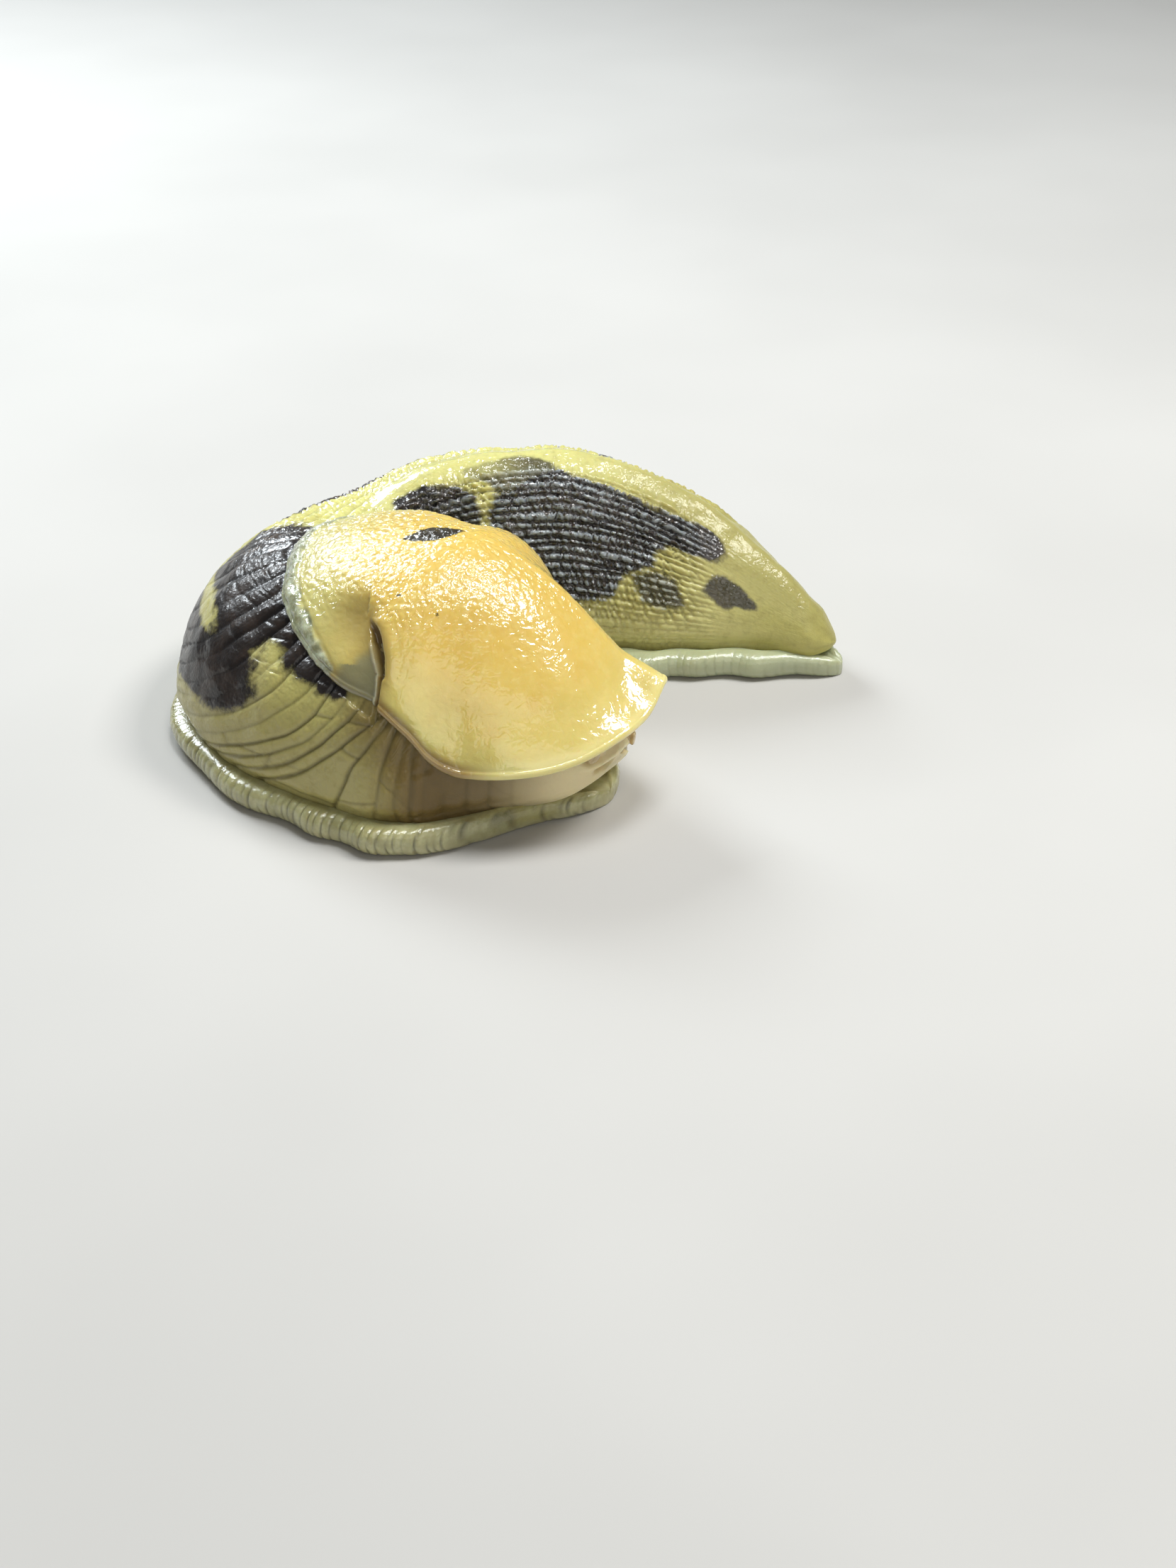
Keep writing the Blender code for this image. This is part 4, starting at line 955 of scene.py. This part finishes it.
class Graph:
    """Writes a node tree as nested calls: each adds one node and gives one of its outputs."""

    def __init__(self, tree):
        self.tree = tree

    def add(self, kind, inputs=None, output=0, **settings):
        node = self.tree.nodes.new(kind)
        for key, value in settings.items():
            setattr(node, key, value)
        for key, value in (inputs or {}).items():
            if isinstance(value, bpy.types.NodeSocket):
                self.tree.links.new(value, node.inputs[key])
            else:
                node.inputs[key].default_value = value
        return node.outputs[output]

    def math(self, operation, *values):
        return self.add("ShaderNodeMath", dict(enumerate(values)), operation=operation)

    def times(self, a, b):
        return self.math("MULTIPLY", a, b)

    def plus(self, a, b):
        return self.math("ADD", a, b)

    def minus(self, a, b):
        return self.math("SUBTRACT", a, b)

    def larger(self, a, b):
        return self.math("MAXIMUM", a, b)

    def scaled(self, vector, by):
        """A vector times a number, or times a vector of three numbers."""
        factor = by if isinstance(by, tuple) else (by, by, by)
        return self.add("ShaderNodeVectorMath", {0: vector, 1: factor}, operation="MULTIPLY")

    def between(self, value, low, high, to_low=0.0, to_high=1.0, ease="SMOOTHSTEP"):
        """The value from low to high, eased, as to_low to to_high."""
        return self.add("ShaderNodeMapRange", {"Value": value, "From Min": low, "From Max": high,
                                               "To Min": to_low, "To Max": to_high},
                        interpolation_type=ease)

    def noise(self, vector, scale, detail=2.0, roughness=0.5, distortion=0.0):
        return self.add("ShaderNodeTexNoise", {"Vector": vector, "Scale": scale, "Detail": detail,
                                               "Roughness": roughness, "Distortion": distortion})

    def cells(self, vector, scale, feature="F1"):
        return self.add("ShaderNodeTexVoronoi", {"Vector": vector, "Scale": scale}, feature=feature)


class Shader(Graph):
    """The node tree of a material."""

    def __init__(self, name):
        self.material = bpy.data.materials.new(name)
        self.material.use_nodes = True
        super().__init__(self.material.node_tree)
        self.principled = self.tree.nodes["Principled BSDF"]
        self.mm = self.scaled(self.add("ShaderNodeTexCoord", output="Object"), 1 / MM)

    def read(self, name, output="Fac"):
        return self.add("ShaderNodeAttribute", attribute_name=name, output=output)

    def blend(self, factor, a, b):
        """Colour a, or b where the factor is 1. Colours are sockets or sRGB triples."""
        inputs = {"Factor": factor}
        for key, colour in ((6, a), (7, b)):
            inputs[key] = colour if isinstance(colour, bpy.types.NodeSocket) else srgb(*colour)
        return self.add("ShaderNodeMix", inputs, output=2, data_type="RGBA", clamp_factor=True)

    def layers(self, colour, *rows):
        """The colour with each row's own laid over it in turn, as far as the row's factor says."""
        for factor, over in rows:
            colour = self.blend(factor, colour, over)
        return colour

    def bump(self, height, distance, normal=None, strength=1.0):
        inputs = {"Height": height, "Distance": distance * MM, "Strength": strength}
        if normal is not None:
            inputs["Normal"] = normal
        return self.add("ShaderNodeBump", inputs)

    def finish(self, **inputs):
        """Sets the shader's own sockets, by their names with _ for a space."""
        for key, value in inputs.items():
            socket = self.principled.inputs[key.replace("_", " ")]
            if isinstance(value, bpy.types.NodeSocket):
                self.tree.links.new(value, socket)
            else:
                socket.default_value = value
        return self.material


def srgb(red, green, blue):
    """Linear colour of an sRGB triple from 0 to 255."""
    linear = [c / 12.92 if c <= 0.04045 else ((c + 0.055) / 1.055) ** 2.4
              for c in (red / 255, green / 255, blue / 255)]
    return (*linear, 1.0)


FLESH = {"Subsurface_Radius": (1.0, 0.60, 0.25), "Subsurface_Scale": 1.8 * MM, "IOR": 1.4,
         "Specular_IOR_Level": 0.3, "Coat_Weight": 1.0, "Coat_Roughness": 0.08, "Coat_IOR": 1.7}


def bare_skin(g, rise, station, furrow, fine):
    """Colour of the skin between the blotches: pale olive, darker on the rear keel, with painted shade in the
    furrows and under the mantle's margin, and the head's own colour, darker towards the neck partly with
    painted shade of the hood."""
    broad, tissue = g.noise(g.mm, 0.09, 3), g.read("tissue")
    base = g.blend(g.between(g.plus(rise, g.times(broad, 0.5)), 0.45, 1.25),
                   (178, 168, 108), (220, 216, 138))
    low = g.times(g.between(rise, 0.9, 0.4), g.between(station, 0.5, 0.6))
    rear_keel = g.times(g.between(station, 0.66, 0.82), g.between(rise, 0.35, 0.75))
    # the head's colour: pale at the snout, darker towards the neck, partly real and partly painted shade of
    # the hood
    flesh_and_hood_shade = g.blend(g.between(station, 0.03, 0.115), (246, 230, 184), (124, 97, 34))
    faint = g.larger(g.times(g.between(station, 0.5, 0.8), 0.36), g.times(tissue, 0.4))
    return g.layers(base,
                    (g.between(broad, 0.42, 0.7, 0.0, 0.45), (196, 188, 108)),
                    (g.times(low, 0.85), (214, 208, 138)),
                    (g.between(station, 0.86, 0.97, 0.0, 0.7), (184, 176, 96)),
                    (g.times(rear_keel, 0.8), (166, 158, 96)),
                    (g.between(fine, 0.45, 0.75, 0.0, 0.3), (138, 126, 70)),
                    (g.times(tissue, 0.9), flesh_and_hood_shade),
                    # painted shade under the mantle's overhanging margin
                    (g.times(g.read("painted_overhang_shade"), 0.75), (104, 84, 46)),
                    # painted shade in the furrows, the mouth and the tucked edge
                    (g.times(furrow, g.minus(0.62, faint)), (88, 78, 38)))


def blotch_skin(g, rise, station, furrow, mound):
    """Colour of the dark blotches, with painted sheen on the tubercles' tops, palest on the rear ones, and
    painted shade in the furrows, and how inked a point is.
    """
    ragged = g.plus(g.times(g.noise(g.mm, 0.55, 4, 0.65), 2.2), -1.1)
    reach = g.plus(g.read("blotch"), g.plus(ragged, g.times(g.minus(mound, 0.6), 0.5)))
    ink = g.times(g.between(reach, -0.45, 0.5), g.read("dark"))
    dark = g.blend(g.between(g.noise(g.mm, 0.35, 3), 0.4, 0.7), (34, 29, 27), (58, 48, 42))
    painted_sheen = g.times(g.between(mound, 0.2, 0.6), g.between(g.noise(g.mm, 1.5, 2), 0.38, 0.54))
    painted_sheen = g.times(painted_sheen, g.times(g.between(rise, 1.2, 0.9), g.between(station, 0.5, 0.6)))
    return g.layers(dark,
                    # painted sheen: the tubercles' tops lighter
                    (g.times(mound, 0.25), (74, 66, 60)),
                    # painted sheen, pale blue-grey, on the rear tubercles' tops
                    (g.times(painted_sheen, 0.75), (156, 166, 172)),
                    # painted shade in the furrows
                    (g.times(furrow, g.between(station, 0.5, 0.6, 0.8, 0.45)), (12, 10, 9))), ink


def body_film(g, rise, station, mound, ink):
    """Ripples of the wet coat, least low on the front's flank, and how satin the skin is, which is most
    there and on the rear keel."""
    calm = g.times(g.between(station, 0.46, 0.4), g.between(rise, 0.75, 0.45, 0.0, 0.85))
    restless = g.minus(g.between(mound, 0.0, 0.8, 0.3, 0.8), calm)
    inked = g.times(ink, g.between(station, 0.45, 0.6, 0.3, 0.7))
    restless = g.larger(g.plus(restless, inked), 0.06)
    film = g.bump(g.times(g.noise(g.mm, 1.3, 1, 0.5, 1.0), restless), 0.30)
    satin = g.times(g.between(station, 0.5, 0.4), g.between(rise, 1.05, 0.65, 0.0, 0.7))
    dull_keel = g.times(g.between(station, 0.66, 0.78, 0.0, 0.75), g.minus(1.0, ink))
    return film, g.larger(satin, dull_keel)


def body_material():
    g = Shader("living_skin")
    rise, station, furrow, mound = (g.read(name) for name in ("rise", "station", "furrow", "mound"))
    fine = g.noise(g.mm, 0.9, 4, 0.6)
    dark, ink = blotch_skin(g, rise, station, furrow, mound)
    colour = g.blend(ink, bare_skin(g, rise, station, furrow, fine), dark)
    rough = g.plus(g.between(fine, 0.3, 0.7, 0.30, 0.46), g.times(furrow, 0.15))
    streak = g.noise(g.scaled(g.read("flow", "Vector"), (0.5, 2.2, 1.0)), 1.0, 3, 0.5)
    wet = g.bump(g.plus(g.times(streak, 0.6), g.times(g.cells(g.mm, 2.6), -0.45)), 0.10, strength=0.7)
    film, satin = body_film(g, rise, station, mound, ink)
    return g.finish(**{**FLESH, "Coat_Weight": g.minus(1.0, satin)}, Base_Color=colour,
                    Roughness=rough, Subsurface_Weight=0.22, Normal=wet, Coat_Normal=film)


def foot_material():
    g = Shader("pleated_foot")
    mottle = g.noise(g.mm, 0.5, 4, 0.6)
    behind = g.between(g.read("station"), 0.55, 0.8)
    # painted shade in the pleats' grooves, less of it behind
    painted_groove_shade = g.times(g.read("groove"), g.minus(0.75, g.times(behind, 0.3)))
    colour = g.layers(g.blend(g.between(mottle, 0.35, 0.7), (164, 160, 112), (192, 190, 142)),
                      (g.between(g.noise(g.mm, 0.07, 2), 0.45, 0.7, 0.0, 0.6), (160, 150, 70)),
                      (g.between(g.read("level"), 0.55, 0.0, 0.0, 0.55), (196, 190, 150)),
                      (g.times(behind, 0.8), (174, 182, 148)),
                      (painted_groove_shade, (82, 76, 40)))
    wet = g.bump(g.noise(g.mm, 3.0, 4, 0.6), 0.08, strength=0.7)
    return g.finish(**FLESH, Base_Color=colour, Roughness=g.between(mottle, 0.3, 0.7, 0.3, 0.45),
                    Subsurface_Weight=0.25, Normal=wet,
                    Coat_Normal=g.bump(g.noise(g.mm, 1.4, 2), 0.1, wet, 0.6))


def mantle_colour(g, fine):
    """Amber, paler along the margin and olive behind, with painted shade where the margin turns under, round
    the pore, over its flap and in its hollow, the pore's fold and the dark spot.
    """
    inwards, rear, pale_lip = (g.read(name) for name in ("inwards", "rear", "pale_lip"))
    deep = g.between(g.plus(inwards, g.times(g.noise(g.mm, 0.11, 3), 6.0)), 3.0, 17.0)
    back = g.times(rear, g.between(inwards, 14.0, 2.0))
    lip = g.times(g.between(inwards, 1.6, 0.1), pale_lip)
    # painted shade where the margin turns under, away from the pale lip and the rear
    curl_shade = g.times(g.times(g.between(inwards, 1.3, 0.1), g.minus(1.0, pale_lip)), g.minus(1.0, rear))
    mottled = g.blend(g.between(g.noise(g.mm, 0.9, 4, 0.65), 0.38, 0.66), (122, 128, 104), (178, 186, 164))
    ragged = g.plus(g.times(g.noise(g.mm, 1.1, 5, 0.7), 1.5), -0.75)
    spot = g.between(g.plus(g.read("spot"), ragged), -0.12, 0.12)
    return g.layers(g.blend(deep, (220, 202, 118), (225, 191, 94)),
                    (g.between(fine, 0.42, 0.72, 0.0, 0.4), (232, 210, 130)),
                    (g.between(g.noise(g.mm, 0.28, 3), 0.5, 0.75, 0.0, 0.35), (214, 175, 80)),
                    (g.times(back, 0.65), (204, 200, 128)),
                    (g.times(lip, 0.75), (238, 222, 150)),
                    # painted shade where the margin turns under
                    (g.times(curl_shade, 0.85), (136, 108, 60)),
                    (g.times(g.read("shade"), 0.65), (146, 122, 66)),
                    # the flap's grey-olive, darkened partly with painted shade of the valley behind the pore
                    (g.times(g.read("flap"), 0.8), (130, 130, 102)),
                    # painted shade in the pore's hollow
                    (g.times(g.read("pit_shade"), 0.8), (112, 84, 42)),
                    (g.times(g.read("fold"), 0.6), (196, 192, 168)),
                    (g.times(g.read("strip"), 0.85), mottled),
                    (g.times(g.read("underside"), 0.7), (186, 156, 108)),
                    (g.times(spot, 0.97), (26, 22, 20)))


def mantle_material():
    g = Shader("mantle_flesh")
    fine = g.noise(g.mm, 0.8, 5, 0.62)
    height = g.plus(g.noise(g.mm, 1.1, 4, 0.55, 1.2), g.times(g.cells(g.mm, 1.6), -0.3))
    ripple = g.times(g.noise(g.mm, 1.1, 1, 0.5, 1.3), g.between(g.read("grain"), 0.15, 0.8, 0.16, 1.0))
    return g.finish(**FLESH, Base_Color=mantle_colour(g, fine),
                    Roughness=g.between(fine, 0.3, 0.7, 0.30, 0.45), Subsurface_Weight=0.45,
                    Normal=g.bump(height, 0.16, strength=0.25), Coat_Normal=g.bump(ripple, 0.34))


def feeler_material():
    g = Shader("feeler_flesh")
    ring = g.noise(g.mm, 1.3, 4, 0.6)
    colour = g.blend(g.between(ring, 0.35, 0.7), (206, 186, 138), (176, 152, 104))
    colour = g.blend(g.between(g.read("level"), 1.0, 2.2, 0.0, 0.5), colour, (142, 118, 80))
    return g.finish(**FLESH, Base_Color=colour, Roughness=g.between(ring, 0.3, 0.7, 0.3, 0.45),
                    Subsurface_Weight=0.25, Normal=g.bump(g.noise(g.mm, 3.5, 4), 0.06, strength=0.8))


def eye_material():
    g = Shader("eye_spot")
    colour = g.blend(g.between(g.noise(g.mm, 6.0, 3), 0.35, 0.7), (12, 10, 10), (30, 25, 24))
    return g.finish(Base_Color=colour, Roughness=g.between(g.noise(g.mm, 9.0, 2), 0.3, 0.7, 0.1, 0.2),
                    Coat_Weight=1.0, Coat_Roughness=0.03)


def floor_material():
    g = Shader("studio_floor")
    shade = g.noise(g.mm, 0.01, 3)
    colour = g.blend(g.between(shade, 0.3, 0.7), (190, 188, 184), (197, 195, 191))
    return g.finish(Base_Color=colour, Roughness=0.85, Specular_IOR_Level=0.2)


# ---------------------------------------------------------------------------- geometry nodes

def geometry_tree(name, inputs):
    """A modifier's node tree: its graph, its geometry going in, and its inputs' sockets by name."""
    tree = bpy.data.node_groups.new(name, "GeometryNodeTree")
    tree.interface.new_socket("Geometry", in_out="INPUT", socket_type="NodeSocketGeometry")
    for key, value in inputs.items():
        kind = "NodeSocketMaterial" if value is None else "NodeSocketFloat"
        socket = tree.interface.new_socket(key, in_out="INPUT", socket_type=kind)
        if value is not None:
            socket.default_value = value
    tree.interface.new_socket("Geometry", in_out="OUTPUT", socket_type="NodeSocketGeometry")
    graph = Graph(tree)
    source = tree.nodes.new("NodeGroupInput")
    return graph, source.outputs


def raise_skin(g, geometry, height, source):
    """Moves the skin out along its normal by a height in metres, and ends the tree."""
    normal = g.add("GeometryNodeInputNormal")
    offset = g.add("ShaderNodeVectorMath", {0: normal, "Scale": height}, operation="SCALE")
    geometry = g.add("GeometryNodeSetPosition", {"Geometry": geometry, "Offset": offset})
    geometry = g.add("GeometryNodeSetMaterial", {"Geometry": geometry, "Material": source["Material"]})
    geometry = g.add("GeometryNodeRealizeInstances", {"Geometry": geometry})
    end = g.tree.nodes.new("NodeGroupOutput")
    g.tree.links.new(geometry, end.inputs[0])
    return g.tree


def named(g, name):
    return g.add("GeometryNodeInputNamedAttribute", {"Name": name}, data_type="FLOAT")


def noise_along(g, value, detail):
    """Smooth noise of one number."""
    return g.add("ShaderNodeTexNoise", {"W": value, "Scale": 1.0, "Detail": detail}, noise_dimensions="1D")


def pleat_tree():
    """Upright folds round the foot's rim: rounded pleats with narrow grooves between them."""
    g, source = geometry_tree("pleats", {"Pitch": PLEAT_PITCH * MM, "Depth": PLEAT_DEPTH * MM,
                                         "Lean": PLEAT_LEAN, "Wander": PLEAT_WANDER, "Seed": 3.0,
                                         "Material": None})
    count = g.math("DIVIDE", g.times(named(g, "walked"), MM), source["Pitch"])
    drift = noise_along(g, g.plus(g.times(count, 0.21), source["Seed"]), 2.0)
    own = noise_along(g, g.plus(g.times(count, 0.5), 40.0), 1.0)
    phase = g.plus(count, g.times(drift, source["Wander"]))
    phase = g.plus(phase, g.times(named(g, "level"), source["Lean"]))
    from_groove = g.math("PINGPONG", phase, 0.5)
    groove = g.between(from_groove, 0.15, 0.0)
    strength = g.times(named(g, "band"), g.between(own, 0.3, 0.62, 0.35, 1.0, ease="LINEAR"))
    round_top = g.times(g.math("SINE", g.times(from_groove, math.pi)), 0.38)
    height = g.times(g.minus(round_top, groove), g.times(strength, source["Depth"]))
    stored = {"Geometry": source["Geometry"], "Name": "groove", "Value": g.times(groove, strength)}
    geometry = g.add("GeometryNodeStoreNamedAttribute", stored, data_type="FLOAT", domain="POINT")
    return raise_skin(g, geometry, height, source)


def grain_tree():
    """Small, low, uneven grains close together, as high as the skin's grain attribute lets them be."""
    g, source = geometry_tree("grains", {"Size": 0.9 * MM, "Height": 0.06 * MM, "Seed": 0.0,
                                         "Material": None})
    at = g.add("ShaderNodeVectorMath", {0: g.add("GeometryNodeInputPosition"),
                                        "Scale": g.math("DIVIDE", 1.0, source["Size"])}, operation="SCALE")
    at = g.add("ShaderNodeVectorMath", {0: at, 1: source["Seed"]}, operation="ADD")
    bent = g.add("ShaderNodeTexNoise", {"Vector": at, "Scale": 0.6, "Detail": 2.0}, output=1)
    at = g.add("ShaderNodeVectorMath", {0: at, 1: bent}, operation="ADD")
    grain = g.between(g.cells(at, 1.0, "DISTANCE_TO_EDGE"), 0.0, 0.32, -0.6, 0.4)
    height = g.times(g.times(grain, source["Height"]), named(g, "grain"))
    return raise_skin(g, source["Geometry"], height, source)


def run_tree(made, tree, **values):
    """Runs a tree on an object and keeps the result as its plain mesh."""
    modifier = made.modifiers.new(tree.name, "NODES")
    modifier.node_group = tree
    for item in tree.interface.items_tree:
        if item.in_out == "INPUT" and item.name in values:
            modifier[item.identifier] = values[item.name]
    made.update_tag()
    evaluated = made.evaluated_get(bpy.context.evaluated_depsgraph_get())
    mesh = bpy.data.meshes.new_from_object(evaluated)
    made.modifiers.remove(modifier)
    old = made.data
    made.data = mesh
    bpy.data.meshes.remove(old)
    mesh.name = made.name
    return made


# ---------------------------------------------------------------------------- the pieces

def feeler_profile(radius, length):
    """Radius and height up a drawn-in feeler: a ringed column under a rounded end."""
    height = np.concatenate([[-FEELER_ROOT], np.linspace(0, FEELER_COLUMN * length, 22)])
    fold = 1 + 0.05 * np.sin(height * 13)
    profile = [(radius * f * (1 - 0.16 * smooth(h / (0.4 * length)) + 0.1 * smooth(h / length - 0.3)), h)
               for h, f in zip(height, fold)]
    cap = profile[-1][0]
    return profile + [(cap * math.cos(w), FEELER_COLUMN * length + FEELER_CAP * length * math.sin(w))
                      for w in np.linspace(0.15, 1.5, 9)]


def eye_profile(length):
    """Radius and height of the eye, a dark bead in the end of an eye stalk."""
    return [(EYE_RADIUS * math.sin(w), length - 0.1 + 0.2 * (1 - math.cos(math.pi - w)) - 0.2)
            for w in np.linspace(0.1, math.pi - 0.1, 12)]


def make_feelers():
    """The four feelers, and an eye on each of the upper two."""
    feeler, eye = feeler_material(), eye_material()
    pieces = []
    for name, frame_at, radius, length in feeler_frames():
        made = turned_object(f"{name}_skin", frame_at, feeler_profile(radius, length), feeler)
        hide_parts(name)
        pieces.append(made)
        if name.startswith("eye_stalk"):
            bead = turned_object(name.replace("stalk", "spot"), frame_at, eye_profile(length), eye, 24)
            pieces.append(bead)
    return pieces


def make_slug():
    skin, foot, mantle = body_material(), foot_material(), mantle_material()
    grains, pleats = grain_tree(), pleat_tree()

    body = run_tree(body_skin(skin), grains, Size=0.75 * MM, Height=0.10 * MM, Seed=4.0, Material=skin)
    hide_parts("head", "neck", "trunk_front", "trunk_bend_front", "trunk_bend_rear", "trunk_rear",
                "tail", "tail_tip")

    sole = run_tree(foot_skin(foot), pleats, Material=foot)
    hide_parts("foot_front", "foot_bend_front", "foot_bend_rear", "foot_rear", "foot_tail")

    cloak = run_tree(mantle_skin(mantle), grains, Size=1.0 * MM, Height=0.11 * MM, Seed=9.0, Material=mantle)
    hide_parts("mantle")

    for piece in (body, sole, cloak, *make_feelers()):
        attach(piece, "root")


# ---------------------------------------------------------------------------- stage, light, camera

CAMERA_PLACE = (10.8, -241.8, 135.0)
CAMERA_PITCH = 31.0
FOCAL_PIXELS, IMAGE_HEIGHT, SENSOR = 3323.0, 2212, 36.0
LIGHTS = {  # place, aim, width and height in metres, power in watts, colour
    "sky_behind_left": ((-0.24, 0.31, 0.28), (-0.01, 0.0, 0.015), (0.20, 0.16), 2.0, (0.88, 0.95, 1.0)),
    "sky_right": ((0.25, 0.01, 0.42), (0.0, 0.0, 0.01), (0.15, 0.13), 1.35, (1.0, 0.99, 0.96)),
    "sky_top": ((0.05, -0.01, 0.52), (0.0, 0.0, 0.01), (0.20, 0.14), 1.4, (0.95, 0.98, 1.0)),
    "front_fill": ((0.12, -0.50, 0.28), (0.0, 0.0, 0.01), (0.5, 0.4), 0.75, (1.0, 0.97, 0.92)),
}
WORLD_COLOUR, WORLD_STRENGTH = (0.90, 0.95, 1.0), 0.10


def make_stage():
    size = 2.0
    floor = bpy.data.meshes.new("studio_floor")
    corners = [(-size, -size, 0), (size, -size, 0), (size, size, 0), (-size, size, 0)]
    floor.from_pydata(corners, [], [(0, 1, 2, 3)])
    floor.transform(Matrix.Translation((0, 0, -0.02 * MM)))
    floor.materials.append(floor_material())
    made = bpy.data.objects.new("studio_floor", floor)
    bpy.context.scene.collection.objects.link(made)


def make_lights():
    for name, (place_at, aim, (width, height), power, colour) in LIGHTS.items():
        lamp = bpy.data.lights.new(name, "AREA")
        lamp.shape = "RECTANGLE"
        lamp.size, lamp.size_y = width, height
        lamp.energy, lamp.color = power, colour
        made = bpy.data.objects.new(name, lamp)
        made.location = place_at
        made.rotation_euler = (Vector(place_at) - Vector(aim)).to_track_quat("Z", "Y").to_euler()
        bpy.context.scene.collection.objects.link(made)
    world = bpy.data.worlds.new("studio")
    world.use_nodes = True
    ground = world.node_tree.nodes["Background"]
    ground.inputs["Color"].default_value = (*WORLD_COLOUR, 1)
    ground.inputs["Strength"].default_value = WORLD_STRENGTH
    bpy.context.scene.world = world


def make_camera():
    lens = bpy.data.cameras.new("camera")
    lens.sensor_fit = "VERTICAL"
    lens.sensor_height = SENSOR
    lens.lens = FOCAL_PIXELS * SENSOR / IMAGE_HEIGHT
    lens.clip_start = 0.01
    made = bpy.data.objects.new("camera", lens)
    x, y, z = CAMERA_PLACE
    made.location = ((x + SHIFT[0]) * MM, (y + SHIFT[1]) * MM, z * MM)
    made.rotation_euler = (math.radians(90 - CAMERA_PITCH), 0, 0)
    bpy.context.scene.collection.objects.link(made)
    bpy.context.scene.camera = made


make_slug()
make_stage()
make_lights()
make_camera()
bpy.context.scene.view_settings.view_transform = "Standard"
